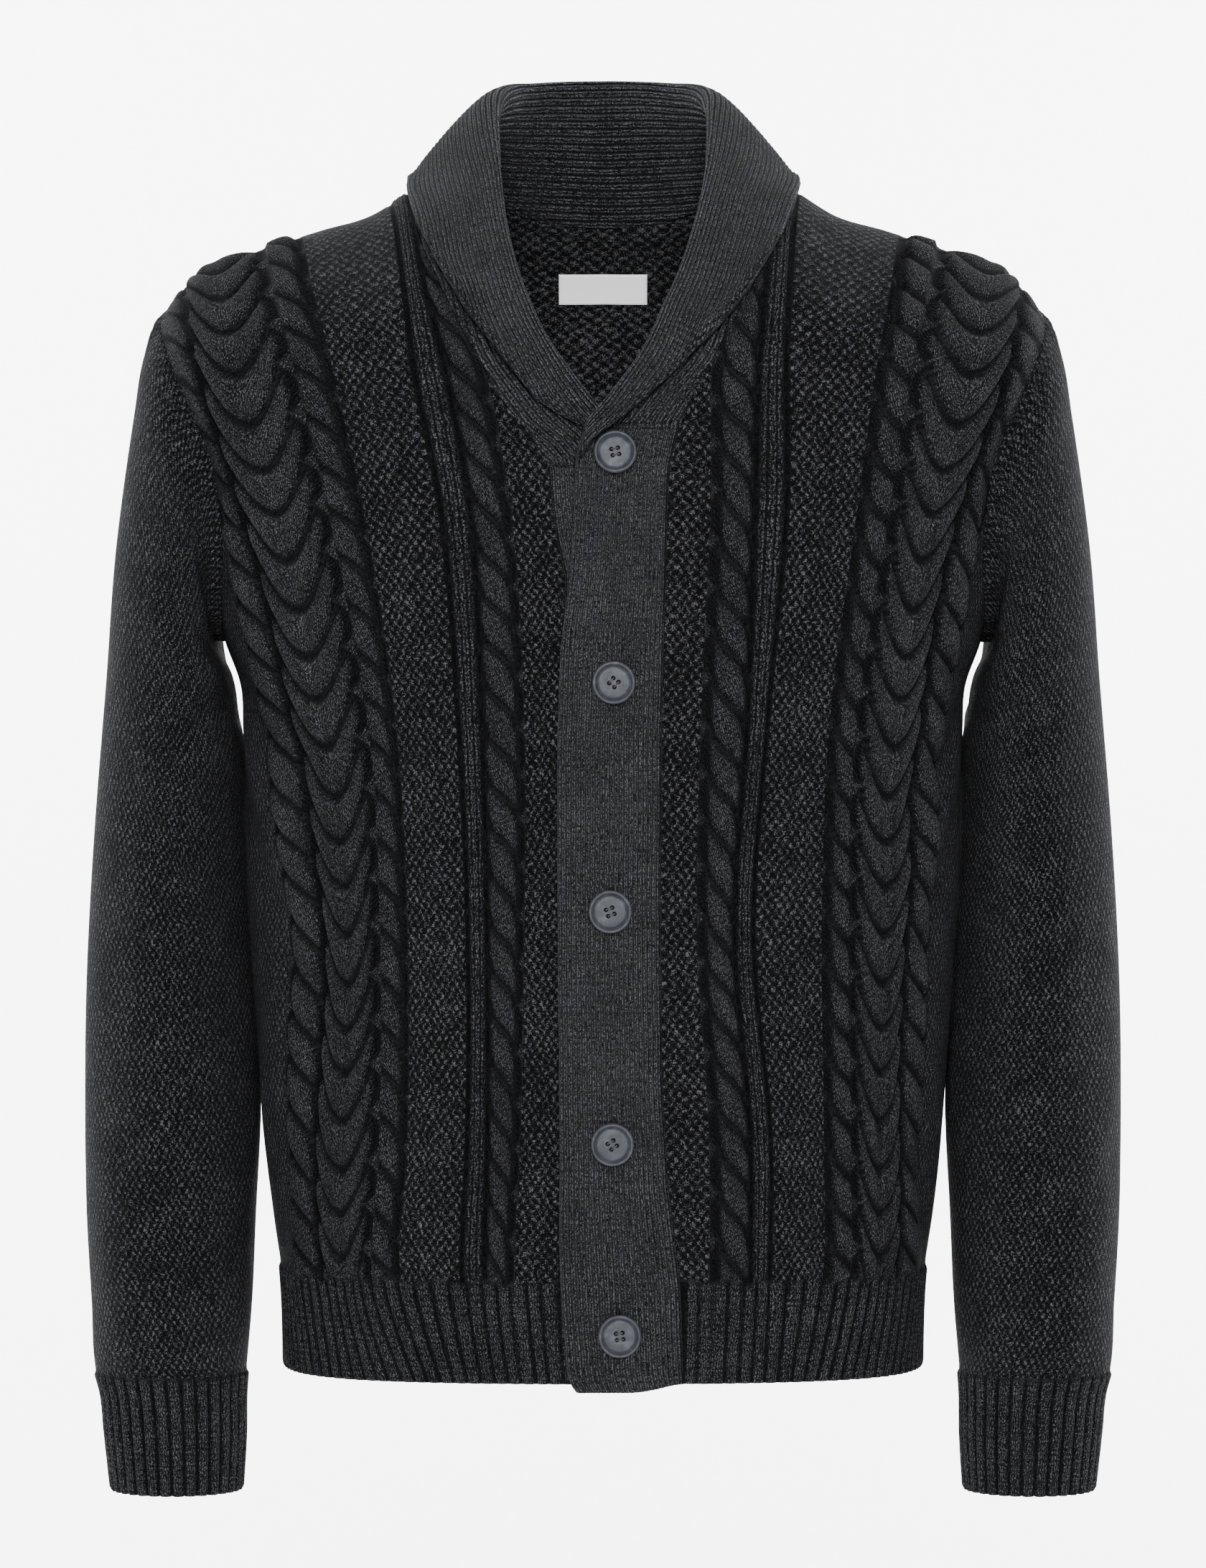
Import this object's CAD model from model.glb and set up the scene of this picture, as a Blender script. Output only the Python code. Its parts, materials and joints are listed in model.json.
"""Looks of the cable-knit shawl-collar cardigan: its knitting, ribs, cables, buttons and label.

Metres, +Z up, front towards -Y. Every cloth is a thin closed wall on the same form as its solid, with
the cables, ribs and creases in its outer points and the single stitches in its material.
"""

import functools
import json
import logging
import math
from dataclasses import dataclass
from enum import Enum
from typing import Sequence

import bpy
import numpy as np
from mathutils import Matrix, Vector
from mathutils.bvhtree import BVHTree
from mathutils.geometry import delaunay_2d_cdt

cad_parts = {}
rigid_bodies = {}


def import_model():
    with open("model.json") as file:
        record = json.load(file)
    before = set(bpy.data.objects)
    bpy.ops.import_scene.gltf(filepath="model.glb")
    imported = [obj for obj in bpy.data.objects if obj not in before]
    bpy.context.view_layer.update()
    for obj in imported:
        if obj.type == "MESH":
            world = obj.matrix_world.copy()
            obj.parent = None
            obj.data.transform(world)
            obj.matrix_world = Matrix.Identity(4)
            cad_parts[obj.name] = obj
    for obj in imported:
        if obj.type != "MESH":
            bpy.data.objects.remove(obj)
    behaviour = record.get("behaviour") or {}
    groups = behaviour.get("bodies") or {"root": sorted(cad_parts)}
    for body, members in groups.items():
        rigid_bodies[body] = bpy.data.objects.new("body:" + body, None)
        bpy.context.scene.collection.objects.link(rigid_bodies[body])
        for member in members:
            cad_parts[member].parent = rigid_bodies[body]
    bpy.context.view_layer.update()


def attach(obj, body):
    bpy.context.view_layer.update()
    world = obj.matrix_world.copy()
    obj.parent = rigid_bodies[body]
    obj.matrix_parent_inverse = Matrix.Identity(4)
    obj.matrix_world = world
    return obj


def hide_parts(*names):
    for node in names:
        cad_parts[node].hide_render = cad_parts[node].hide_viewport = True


Array = np.ndarray
Socket = bpy.types.NodeSocket
Material = bpy.types.Material
Thing = bpy.types.Object

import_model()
LOG = logging.getLogger("cardigan")

# ------------------------------------------------------------------ sizes shared with the solids
WALL = 0.003
SEAM = 0.0003
BAND_SEAM = 0.00006  # the bands are linked to the fronts, so hardly a gap shows there
SQUARENESS = 0.045
HEM = -0.671
HEM_RIB_TOP = -0.614
UNDERARM = -0.250
RIB_PITCH = 0.0077
RIB_RIDGE = 0.0017
RIB_VALLEY = -0.0013
ROPE_REPEAT = 0.0264
ROPE_SLANT = 0.016
ROPE_CREST = 0.0050
ROPE_GROOVE = 0.0006
PURL_VALLEY = -0.0019
WALE_CREST = 0.0015
STITCH_WIDE = 0.0043    # one stitch across the cloth
STITCH_TALL = 0.0034    # one row of stitches up the cloth
INSIDE_LIGHTER = 0.12   # how much lighter the purl side of the body looks than its face
CABLE_GAP = 0.0012      # purl strip between two cables
CREASE_FADE = 0.030     # creases die away this near to a seam
EDGE_ROLL = 0.0010      # how far a lower edge turns in
EDGE_SOFT = 0.0012
UNDERARM_FULLNESS = 0.0062
NORMAL_STEP = 0.0008    # step at which a surface's direction is measured
SEAM_EASE = 0.012       # the cloth turns to the armhole's own direction over this distance

RINGS = np.array([
    # height  half    front   back
    [-0.680, 0.1852, 0.1180, 0.1120],
    [-0.614, 0.1880, 0.1190, 0.1130],
    [-0.588, 0.1918, 0.1195, 0.1135],
    [-0.542, 0.1970, 0.1210, 0.1140],
    [-0.462, 0.2030, 0.1240, 0.1160],
    [-0.378, 0.2080, 0.1275, 0.1195],
    [-0.300, 0.2100, 0.1290, 0.1230],
    [-0.275, 0.2118, 0.1290, 0.1235],
    [-0.250, 0.2205, 0.1285, 0.1240],
    [-0.200, 0.2296, 0.1270, 0.1235],
    [-0.150, 0.2430, 0.1245, 0.1220],
    [-0.105, 0.2640, 0.1190, 0.1170],
    [-0.060, 0.2780, 0.1110, 0.1080],
    [0.0000, 0.2850, 0.1000, 0.0980],
    [0.0600, 0.2850, 0.0960, 0.0950],
])
RIDGE = np.array([
    # across  height  rounding
    [0.000, 0.0300, 0.085],
    [0.110, 0.0148, 0.085],
    [0.135, -0.0005, 0.080],
    [0.164, -0.0092, 0.075],
    [0.206, -0.0230, 0.068],
    [0.235, -0.0350, 0.063],
    [0.248, -0.0470, 0.060],
    [0.262, -0.0670, 0.058],
    [0.300, -0.1500, 0.055],
])
ARMHOLE = np.array([
    # turn  angle  height
    [0.0, 90.0, -0.2500],
    [30.0, 79.5, -0.2380],
    [60.0, 69.0, -0.2050],
    [90.0, 63.0, -0.1600],
    [120.0, 61.5, -0.1150],
    [150.0, 62.5, -0.0680],
])
ARMHOLE_CENTRE = np.array([0.2370, 0.0, -0.1500])
ARMHOLE_AXIS = np.array([0.987, 0.0, -0.162])
SHOULDER_TIP = 0.2535
NECK_SIDE = 0.1100
BACK_NECK_DROP = 0.058

# Places of the knitted columns across the cloth: centre, rope A, wales, rope B, horseshoe, rope C, side.
COLUMN_CLOTH = np.array([0.0, 48.0, 68.0, 82.0, 120.0, 137.0, 179.0, 203.0, 283.0]) / 1000.0
RIGHT_COLUMNS = np.array([
    # height  a_in  a_out wales b_in  b_out shoe  c_out
    [-0.680, 46.0, 57.5, 69.5, 96.0, 113.0, 148.0, 166.0],
    [-0.612, 54.0, 66.0, 80.0, 117.0, 135.0, 158.0, 175.0],
    [-0.539, 50.7, 65.0, 77.0, 113.6, 131.0, 162.0, 179.0],
    [-0.417, 48.0, 65.0, 76.5, 113.0, 130.0, 158.0, 178.0],
    [-0.295, 48.0, 68.0, 82.0, 120.0, 137.0, 177.0, 196.0],
    [-0.174, 57.0, 75.0, 92.5, 139.0, 161.0, 206.0, 220.0],
    [-0.093, 73.0, 90.0, 108.0, 158.0, 182.0, 232.0, 254.0],
    [-0.048, 85.0, 101.0, 113.0, 169.0, 193.0, 240.0, 262.0],
    [0.060, 98.0, 114.0, 126.0, 184.0, 208.0, 250.0, 272.0],
])
LEFT_COLUMNS = np.array([
    # height  a_in  a_out wales b_in  b_out shoe  c_out
    [-0.680, 63.0, 79.0, 92.0, 114.0, 130.0, 156.0, 170.0],
    [-0.612, 65.0, 83.0, 95.0, 127.0, 144.0, 166.0, 179.0],
    [-0.539, 65.0, 83.0, 95.3, 127.8, 144.0, 166.5, 180.0],
    [-0.417, 57.6, 73.8, 85.0, 127.0, 142.5, 172.4, 186.0],
    [-0.295, 60.0, 81.0, 93.3, 131.0, 146.5, 180.0, 196.0],
    [-0.174, 66.0, 85.0, 104.0, 147.0, 167.0, 203.0, 219.0],
    [-0.093, 67.0, 88.0, 104.0, 160.0, 182.0, 232.0, 252.0],
    [-0.048, 72.0, 92.0, 106.0, 168.0, 191.0, 240.0, 262.0],
    [0.060, 82.0, 100.0, 114.0, 182.0, 206.0, 250.0, 272.0],
])
RIGHT_EDGE = np.array([
    # height   seam
    [-0.6755, 0.0148],
    [-0.6710, 0.0150],
    [-0.6400, 0.0200],
    [-0.5000, 0.0205],
    [-0.3000, 0.0212],
    [-0.2150, 0.0215],
    [-0.1950, 0.0260],
    [-0.1740, 0.0290],
    [-0.1545, 0.0303],
])
LEFT_EDGE = np.array([
    # height   seam
    [-0.6755, 0.0456],
    [-0.6710, 0.0455],
    [-0.6200, 0.0440],
    [-0.5880, 0.0405],
    [-0.5600, 0.0370],
    [-0.5000, 0.0334],
    [-0.4000, 0.0325],
    [-0.3000, 0.0332],
    [-0.1740, 0.0365],
    [-0.1540, 0.0373],
    [-0.1330, 0.0426],
])
SLEEVE_RINGS = np.array([
    # out_x   out_z   in_x    in_z    half    centre
    [0.2590, -0.0605, 0.2280, -0.2480, 0.0655, 0.001],
    [0.2650, -0.0780, 0.2315, -0.2550, 0.0675, 0.002],
    [0.2720, -0.1120, 0.2235, -0.2710, 0.0695, 0.006],
    [0.2843, -0.1890, 0.2118, -0.3020, 0.0705, 0.012],
    [0.2915, -0.2700, 0.2098, -0.3460, 0.0695, 0.017],
    [0.2990, -0.3600, 0.2080, -0.3960, 0.0675, 0.019],
    [0.3033, -0.4450, 0.2042, -0.4550, 0.0645, 0.016],
    [0.3037, -0.5200, 0.2008, -0.5200, 0.0610, 0.010],
    [0.3020, -0.5850, 0.2032, -0.5850, 0.0570, 0.002],
    [0.2985, -0.6350, 0.2050, -0.6350, 0.0530, -0.005],
    [0.2955, -0.6740, 0.2080, -0.6740, 0.0490, -0.009],
    [0.2920, -0.6860, 0.2088, -0.6860, 0.0450, -0.011],
    [0.2893, -0.7100, 0.2090, -0.7100, 0.0415, -0.0125],
    [0.2855, -0.7430, 0.2108, -0.7430, 0.0375, -0.014],
])
SEAM_SHAPE_LEFT = (0.95, 0.85, 0.60, 0.30, 0.10)
CUFF_TOP_ROW = 11
SLEEVE_RIBS = 32

BAND_BOTTOM = -0.6755
BUTTONHOLE_BAND_TOP = -0.1330
BUTTON_BAND_TOP = -0.1545
UPPER_BAND_FREE = np.array([
    # height   free edge, from the centre towards the viewer's left
    [-0.6755, 0.0150],
    [-0.6700, 0.0185],
    [-0.6500, 0.0215],
    [-0.6200, 0.0238],
    [-0.5400, 0.0245],
    [-0.4200, 0.0254],
    [-0.2950, 0.0252],
    [-0.2550, 0.0235],
    [-0.2150, 0.0190],
    [-0.1740, 0.0165],
    [-0.1540, 0.0158],
    [-0.1430, 0.0142],
    [-0.1330, 0.0105],
])
UPPER_BAND_LIFT = 0.0008
BAND_STEP = 0.0170
LOWER_BAND_FREE = 0.0295
LOWER_BAND_SINK = 0.0040
FRONT_SPLAY = 2.6

RIGHT_COLLAR = np.array([
    # level  seam    fold_x   fold_y   fold_z   edge_x   edge_y   edge_z  roll
    [-0.1545, 0.0303, 0.0215, -0.1150, -0.1545, 0.0110, -0.1212, -0.1545, 0.0045],
    [-0.1430, 0.0365, 0.0120, -0.1150, -0.1370, 0.0015, -0.1214, -0.1420, 0.0045],
    [-0.1300, 0.0455, -0.0030, -0.1150, -0.1215, -0.0112, -0.1216, -0.1315, 0.0045],
    [-0.1130, 0.0596, -0.0165, -0.1165, -0.1050, -0.0350, -0.1265, -0.1180, 0.006],
    [-0.0920, 0.0700, -0.0320, -0.1060, -0.0830, -0.0555, -0.1235, -0.0940, 0.007],
    [-0.0720, 0.0815, -0.0415, -0.0930, -0.0640, -0.0735, -0.1150, -0.0700, 0.0075],
    [-0.0510, 0.0917, -0.0500, -0.0780, -0.0420, -0.0880, -0.1025, -0.0480, 0.008],
    [-0.0280, 0.1020, -0.0575, -0.0560, -0.0110, -0.1010, -0.0850, -0.0240, 0.0085],
    [-0.0080, 0.1085, -0.0610, -0.0340, 0.0200, -0.1085, -0.0585, -0.0030, 0.009],
])
LEFT_COLLAR = np.array([
    # level  seam    fold_x   fold_y   fold_z   edge_x   edge_y   edge_z  roll
    [-0.1330, 0.0426, -0.0095, -0.1268, -0.1330, -0.0128, -0.1345, -0.1490, 0.0040],
    [-0.1260, 0.0455, -0.0065, -0.1275, -0.1280, -0.0070, -0.1365, -0.1395, 0.0045],
    [-0.1130, 0.0507, 0.0030, -0.1275, -0.1170, 0.0060, -0.1370, -0.1305, 0.005],
    [-0.0980, 0.0590, 0.0180, -0.1160, -0.0975, 0.0310, -0.1300, -0.1090, 0.006],
    [-0.0840, 0.0660, 0.0280, -0.1040, -0.0810, 0.0490, -0.1225, -0.0910, 0.007],
    [-0.0650, 0.0770, 0.0370, -0.0900, -0.0600, 0.0710, -0.1130, -0.0680, 0.0075],
    [-0.0440, 0.0880, 0.0462, -0.0740, -0.0390, 0.0880, -0.1010, -0.0440, 0.008],
    [-0.0220, 0.0990, 0.0555, -0.0520, -0.0080, 0.1010, -0.0860, -0.0210, 0.0085],
    [-0.0060, 0.1070, 0.0610, -0.0320, 0.0210, 0.1085, -0.0580, -0.0020, 0.009],
])
BACK_COLLAR = np.array([
    # share  fold_x  fold_y  fold_z  edge_x  edge_y  edge_z   roll
    [1.00, 0.0635, 0.0060, 0.0620, 0.1140, 0.0000, 0.0190, 0.009],
    [0.86, 0.0585, 0.0350, 0.0775, 0.1070, 0.0480, 0.0080, 0.010],
    [0.60, 0.0415, 0.0540, 0.0820, 0.0790, 0.0800, -0.0090, 0.011],
    [0.30, 0.0205, 0.0615, 0.0840, 0.0400, 0.0940, -0.0190, 0.012],
    [0.00, 0.0000, 0.0630, 0.0845, 0.0000, 0.0980, -0.0220, 0.012],
])
FALL_CLEARANCE = 0.0058
OVER_CLOTH = 0.75
COLLAR_WIDE = 6
COLLAR_FALL = 7
COLLAR_ENDS = 7
END_COLUMNS = 3
STAND_SHARES = 1 - np.linspace(1.0, 0.0, COLLAR_WIDE) ** 1.5
FALL_SHARES = np.linspace(0.0, 1.0, COLLAR_FALL) ** 1.4

# Buttons, from the top: distance right of the centre, height, lean back in degrees, turn of the holes.
BUTTONS = np.array([
    # across   level    lean  turn
    [0.0068, -0.1465, 8.0, 12.0],
    [0.0060, -0.2758, 0.0, 52.0],
    [0.0040, -0.4043, 0.0, 20.0],
    [0.0052, -0.5353, 0.0, 33.0],
    [0.0093, -0.6432, 0.0, 8.0],
])
BUTTON_RADIUS = 0.0121
BUTTON_REST = 0.0004

LABEL_WIDTH = 0.0536
LABEL_HEIGHT = 0.0180
LABEL_THICK = 0.0008
LABEL_CENTRE = -0.0330
LABEL_GAP = 0.0006


# ------------------------------------------------------------------ small mathematics
def spline(at: Array, keys: Array, values: Array) -> Array:
    """Read a smooth curve through keys and values.

    Args:
        at: places to read.
        keys: rising places that are known.
        values: one value, or one row of values, for each key.

    Returns:
        The values at the places.
    """
    keys = np.asarray(keys, float)
    values = np.asarray(values, float)
    slopes = np.gradient(values, keys, axis=0)
    at = np.clip(np.asarray(at, float), keys[0], keys[-1])
    low = np.clip(np.searchsorted(keys, at, side="right") - 1, 0, len(keys) - 2)
    span = keys[low + 1] - keys[low]
    part = (at - keys[low]) / span
    if values.ndim > 1:
        part = part[..., None]
        span = span[..., None]
    start = (2 * part ** 3 - 3 * part ** 2 + 1) * values[low]
    leave = (part ** 3 - 2 * part ** 2 + part) * span * slopes[low]
    end = (3 * part ** 2 - 2 * part ** 3) * values[low + 1]
    arrive = (part ** 3 - part ** 2) * span * slopes[low + 1]
    return start + leave + end + arrive


def smooth_step(part: Array) -> Array:
    """Ease from 0 to 1."""
    part = np.clip(part, 0.0, 1.0)
    return part * part * (3.0 - 2.0 * part)


def unit(vectors: Array) -> Array:
    """Scale each row to length one."""
    return vectors / np.maximum(np.linalg.norm(vectors, axis=-1, keepdims=True), 1e-12)


def bell(distance: Array, width: float) -> Array:
    """A soft bump of height one that is about twice the width across."""
    return np.exp(-(distance / width) ** 2)


def read(at: Array, table: Array, column: int | slice = 1) -> Array:
    """Read one column of a table, or some of them, as smooth curves over the first."""
    return spline(at, table[:, 0], table[:, column])


def run_along(points: Array) -> Array:
    """Distance along a line of points, from the first."""
    return np.concatenate([[0.0], np.cumsum(np.linalg.norm(np.diff(points, axis=0), axis=1))])


def ring_across(angle: Array) -> Array:
    """Share of the half width at an angle round a body section (0 is the centre front)."""
    return (np.sin(angle) + SQUARENESS * np.sin(3 * angle)) / (1 - SQUARENESS)


def ring_deep(angle: Array) -> Array:
    """Share of the depth at an angle round a body section."""
    return (np.cos(angle) - SQUARENESS * np.cos(3 * angle)) / (1 - SQUARENESS)


QUARTER = np.linspace(0.0, math.pi / 2, 400)
QUARTER_ACROSS = ring_across(QUARTER)


def angle_at(share: Array) -> Array:
    """Angle round the section at a share of its half width, on the front quarter."""
    return np.interp(share, QUARTER_ACROSS, QUARTER)


def angle_across(across: float, height: float) -> float:
    """Angle round the body of a place at a distance from the centre."""
    return float(angle_at(across / float(read(np.array([height]), RINGS)[0])))


# ------------------------------------------------------------------ the body's form
def shoulder_start(across: Array, depth: Array) -> tuple[Array, Array, Array]:
    """Height where the cloth starts to round over the shoulder, its rounding and how far that runs."""
    ridge, rounding = np.moveaxis(read(across, RIDGE, slice(1, 3)), -1, 0)
    along = math.pi / 2 * np.sqrt((rounding ** 2 + depth ** 2) / 2)
    return ridge - rounding, rounding, along


def torso(side: Array, angle: Array, height: Array) -> Array:
    """Points on the outside of the body.

    Args:
        side: -1 or +1.
        angle: angle from the centre front, in radians.
        height: height up the cloth.

    Returns:
        One point for each angle and height.
    """
    half, front, back = np.moveaxis(read(height, RINGS, slice(1, 4)), -1, 0)
    across = half * ring_across(angle)
    depth = np.where(angle < math.pi / 2, front, back) * ring_deep(angle)
    start, rounding, along = shoulder_start(across, np.abs(depth))
    lean = np.clip((height - start) / along, 0.0, 1.0) * math.pi / 2
    up = np.where(height < start, height, start + rounding * np.sin(lean))
    return np.stack([side * across, -depth * np.cos(lean), up], axis=-1)


def torso_point(side: float, angle: float, height: float) -> Array:
    """One point on the outside of the body."""
    return torso(side, np.array([angle]), np.array([height]))[0]


def torso_facing(side: float, angle: float, height: float) -> Array:
    """Outward direction of the body's surface at one angle and height."""
    step = 0.002
    angles = np.array([angle + step, angle - step, angle, angle])
    heights = np.array([height, height, height - step * 0.2, height - step * 0.6])
    one, two, three, four = torso(side, angles, heights)
    return unit(np.cross(one - two, three - four)) * side


@functools.cache
def shoulder_height(across: float, behind: bool) -> float:
    """Height up the cloth at which a column reaches the shoulder line."""
    height = 0.0
    for _ in range(12):
        half, front, back = read(np.array([height]), RINGS, slice(1, 4))[0]
        angle = angle_at(across / half)
        depth = (back if behind else front) * ring_deep(angle)
        start, _, along = shoulder_start(np.array([across]), np.array([depth]))
        height = float(start[0] + along[0])
    return height


def cloth_height_of(across: float, level: float, behind: bool = False) -> float:
    """Height up the cloth of a point that lies at a level, at a distance from the centre."""
    low, high = level - 0.002, level + 0.120
    for _ in range(40):
        middle = (low + high) / 2
        angle = angle_across(across, middle)
        if torso_point(1.0, math.pi - angle if behind else angle, middle)[2] < level:
            low = middle
        else:
            high = middle
    return (low + high) / 2


def front_way(across: Array) -> Array:
    """Direction in which things stand off the body near the centre front."""
    return unit(np.stack([FRONT_SPLAY * across, -np.ones_like(across), np.zeros_like(across)], axis=-1))


def front_point(across: Array, level: Array, lift: Array) -> Array:
    """Points near the centre front, lifted off the body. The distance across is signed."""
    side = np.where(across < 0, -1.0, 1.0)
    half, front = np.moveaxis(read(level, RINGS, slice(1, 3)), -1, 0)
    angle = angle_at(np.abs(across) / half)
    depth = front * ring_deep(angle)
    place = np.stack([side * half * ring_across(angle), -depth, level], axis=-1)
    return place + front_way(across) * np.asarray(lift)[..., None]


class FrontCloth:
    """Chart of one front: distance across the cloth and height up it."""

    def __init__(self, side: float, columns: Array) -> None:
        """Keep the side and the table of knitted columns."""
        self.side = side
        self.columns = columns

    def column_angles(self, height: Array) -> Array:
        """Angle of each knitted column at each height."""
        places = read(height, self.columns, slice(1, None)) / 1000.0
        angles = angle_at(places / read(height, RINGS)[:, None])
        centre = np.zeros((len(height), 1))
        flank = np.full((len(height), 1), math.pi / 2)
        return np.hstack([centre, angles, flank])

    def angle(self, cloth: Array, height: Array) -> Array:
        """Angle round the body of points given across the cloth."""
        angles = self.column_angles(height)
        low = np.clip(np.searchsorted(COLUMN_CLOTH, cloth, side="right") - 1, 0, len(COLUMN_CLOTH) - 2)
        rows = np.arange(len(height))
        part = (cloth - COLUMN_CLOTH[low]) / (COLUMN_CLOTH[low + 1] - COLUMN_CLOTH[low])
        return angles[rows, low] * (1 - part) + angles[rows, low + 1] * part

    def cloth_at(self, angle: float, height: float) -> float:
        """Distance across the cloth of one angle round the body."""
        return float(np.interp(angle, self.column_angles(np.array([height]))[0], COLUMN_CLOTH))

    def cloth_from_centre(self, across: float, height: float) -> float:
        """Distance across the cloth of a place measured straight from the centre."""
        return self.cloth_at(angle_across(across, height), height)

    def points(self, chart: Array) -> Array:
        """Surface points of chart places."""
        return torso(self.side, self.angle(chart[:, 0], chart[:, 1]), chart[:, 1])


class BackCloth:
    """Chart of the back: angle from the centre back, scaled to cloth, and height."""

    SCALE = 0.165

    def cloth_at(self, angle: float, _height: float) -> float:
        """Distance across the cloth of an angle, counted from the side's own end as on a front."""
        return angle * self.SCALE

    def points(self, chart: Array) -> Array:
        """Surface points of chart places; the sign of the first says which side."""
        turned = chart[:, 0] / self.SCALE
        side = np.where(turned < 0, -1.0, 1.0)
        return torso(side, math.pi - np.abs(turned), chart[:, 1])


def chart_normals(cloth: FrontCloth | BackCloth, chart: Array) -> Array:
    """Outward directions of a cloth at chart places."""
    step = NORMAL_STEP
    centre_side = np.where(np.abs(chart[:, 0]) < 2 * step, 1.0, 0.0)
    right = chart + np.array([step, 0.0])
    left = chart - np.array([step, 0.0]) * (1 - centre_side)[:, None]
    upper = chart + np.array([0.0, step])
    lower = chart - np.array([0.0, step])
    places = cloth.points(chart)
    at_ridge = np.linalg.norm(cloth.points(upper) - places, axis=1) < step * 0.2
    upper[at_ridge] = chart[at_ridge]
    across = cloth.points(right) - cloth.points(left)
    up = cloth.points(upper) - cloth.points(lower)
    facing = unit(np.cross(across, up))
    outward = places * np.array([1.0, 1.0, 0.0]) + np.array([0.0, 0.0, 0.05])
    return facing * np.sign(np.sum(facing * outward, axis=1))[:, None]


@functools.cache
def armhole_chart(turn: float, behind: bool) -> tuple[float, float]:
    """Angle and height of the armhole seam at a turn of 0 to 180 degrees from the underarm."""
    tip_height = shoulder_height(SHOULDER_TIP, behind)
    tip_angle = math.degrees(angle_across(SHOULDER_TIP, tip_height))
    keys = np.vstack([ARMHOLE, [180.0, tip_angle, tip_height]])
    angle, height = read(np.array([turn]), keys, slice(1, 3))[0]
    return math.radians(angle), float(height)


def armhole_point(turn: float, side: float) -> Array:
    """Point on the armhole seam at a turn of 0 to 360 degrees: underarm, front, shoulder, back."""
    behind = turn > 180.0
    angle, height = armhole_chart(360.0 - turn if behind else turn, behind)
    if behind:
        angle = math.pi - angle
    return torso_point(side, angle, height)


def armhole_facing(point: Array, side: float) -> Array:
    """Direction in which both edges stand at the armhole seam: straight out from its axis."""
    mirror = np.array([side, 1.0, 1.0])
    spoke = point * mirror - ARMHOLE_CENTRE
    axis = unit(ARMHOLE_AXIS)
    spoke = spoke - axis * np.dot(spoke, axis)
    return unit(spoke) * mirror


# ------------------------------------------------------------------ knitting as relief
@dataclass
class Relief:
    """What knitting does to a cloth: lift over the ground, stitch count each way, moss share, hollow."""

    lift: Array
    stitch: Array
    moss: Array
    hollow: Array

    @classmethod
    def moss_ground(cls, stitch: Array) -> "Relief":
        """A flat ground of moss stitch."""
        shape = stitch.shape[:-1]
        return cls(np.zeros(shape), stitch.copy(), np.ones(shape), np.zeros(shape))

    def lay(self, share: Array, lift: Array, stitch: Array, hollow: Array) -> None:
        """Lay plain knitting over the ground.

        Args:
            share: 0 where the ground stays, 1 where the plain knitting is whole.
            lift: height of the plain knitting.
            stitch: its stitch count each way.
            hollow: how far it lies in a groove, 0 to 1.
        """
        self.lift = self.lift * (1 - share) + lift * share
        plain = share > 0.5
        self.stitch[plain] = stitch[plain]
        self.moss = np.where(plain, 0.0, self.moss)
        self.hollow = np.maximum(self.hollow * (1 - share), hollow * share)

    def fade(self, share: Array) -> None:
        """Let the lift die away, as at a seam."""
        self.lift = self.lift * share


class CableKind(Enum):
    """The two cables of the fronts."""

    ROPE = "rope"
    HORSESHOE = "horseshoe"


@dataclass(frozen=True)
class Cable:
    """One cable column: its two edges across the cloth, and the way its grooves fall."""

    kind: CableKind
    left: float
    right: float
    falls: float
    start: float = HEM_RIB_TOP + 0.010

    def fall(self, share: Array) -> Array:
        """How far a groove has fallen at a share of the width, in metres."""
        if self.kind is CableKind.ROPE:
            swing = self.falls * (2 * share - 1)
            return ROPE_SLANT * (0.48 * swing + 0.36 * swing ** 3)
        reach = np.sqrt((2 * share - 1) ** 2 + 0.03)
        return -ROPE_SLANT * 2.0 * reach ** 1.9

    def lay_on(self, relief: Relief, place: Array, height: Array) -> None:
        """Add the cable and the purl valleys beside it.

        Args:
            relief: the front's relief, changed in place.
            place: distance across the cloth of each point.
            height: height of each point.
        """
        width = self.right - self.left
        share = (place - self.left) / width
        sway = 0.05 * np.sin(height * 61.0 + self.left * 300.0)
        phase = (height - self.start + self.fall(np.clip(share, 0.0, 1.0))) / ROPE_REPEAT + sway
        within = phase - np.floor(phase)
        from_groove = np.minimum(within, 1 - within)
        edge = 1.06 - 0.30 * bell(from_groove, 0.17)
        off_middle = np.abs(2 * share - 1)
        reach = off_middle / edge
        swell = np.sqrt(np.clip(1 - reach ** 3.2, 0.0, 1.0))
        strand = 1 - np.abs(2 * within - 1) ** 2.6
        lift = swell * (ROPE_GROOVE + (ROPE_CREST - ROPE_GROOVE) * strand)
        groove = bell(from_groove, 0.075) * swell
        if self.kind is CableKind.HORSESHOE:
            middle = bell(2 * share - 1, 0.20)
            lift = lift * (1 - 0.22 * middle)
        valley = bell((off_middle - edge - 0.10) * width / 2, 0.0017)
        lift = lift + PURL_VALLEY * valley
        tilt = np.full_like(share, 0.55 * self.falls)
        if self.kind is CableKind.HORSESHOE:
            tilt = 0.62 * np.sign(0.5 - share) * smooth_step(off_middle / 0.35)
        middle_place = (self.left + self.right) / 2
        along = height * np.cos(tilt) - (place - middle_place) * np.sin(tilt)
        beside = (place - middle_place) * np.cos(tilt) + (within - 0.5) * ROPE_REPEAT * np.sin(tilt)
        stitch = np.stack([beside / (STITCH_WIDE * 0.72), along / (STITCH_TALL * 0.86)], axis=-1)
        cover = smooth_step((1.36 - off_middle) / 0.10)
        hollow = np.clip(0.9 * groove + 1.2 * valley, 0.0, 1.0)
        relief.lay(cover, lift, stitch, hollow)


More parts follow.
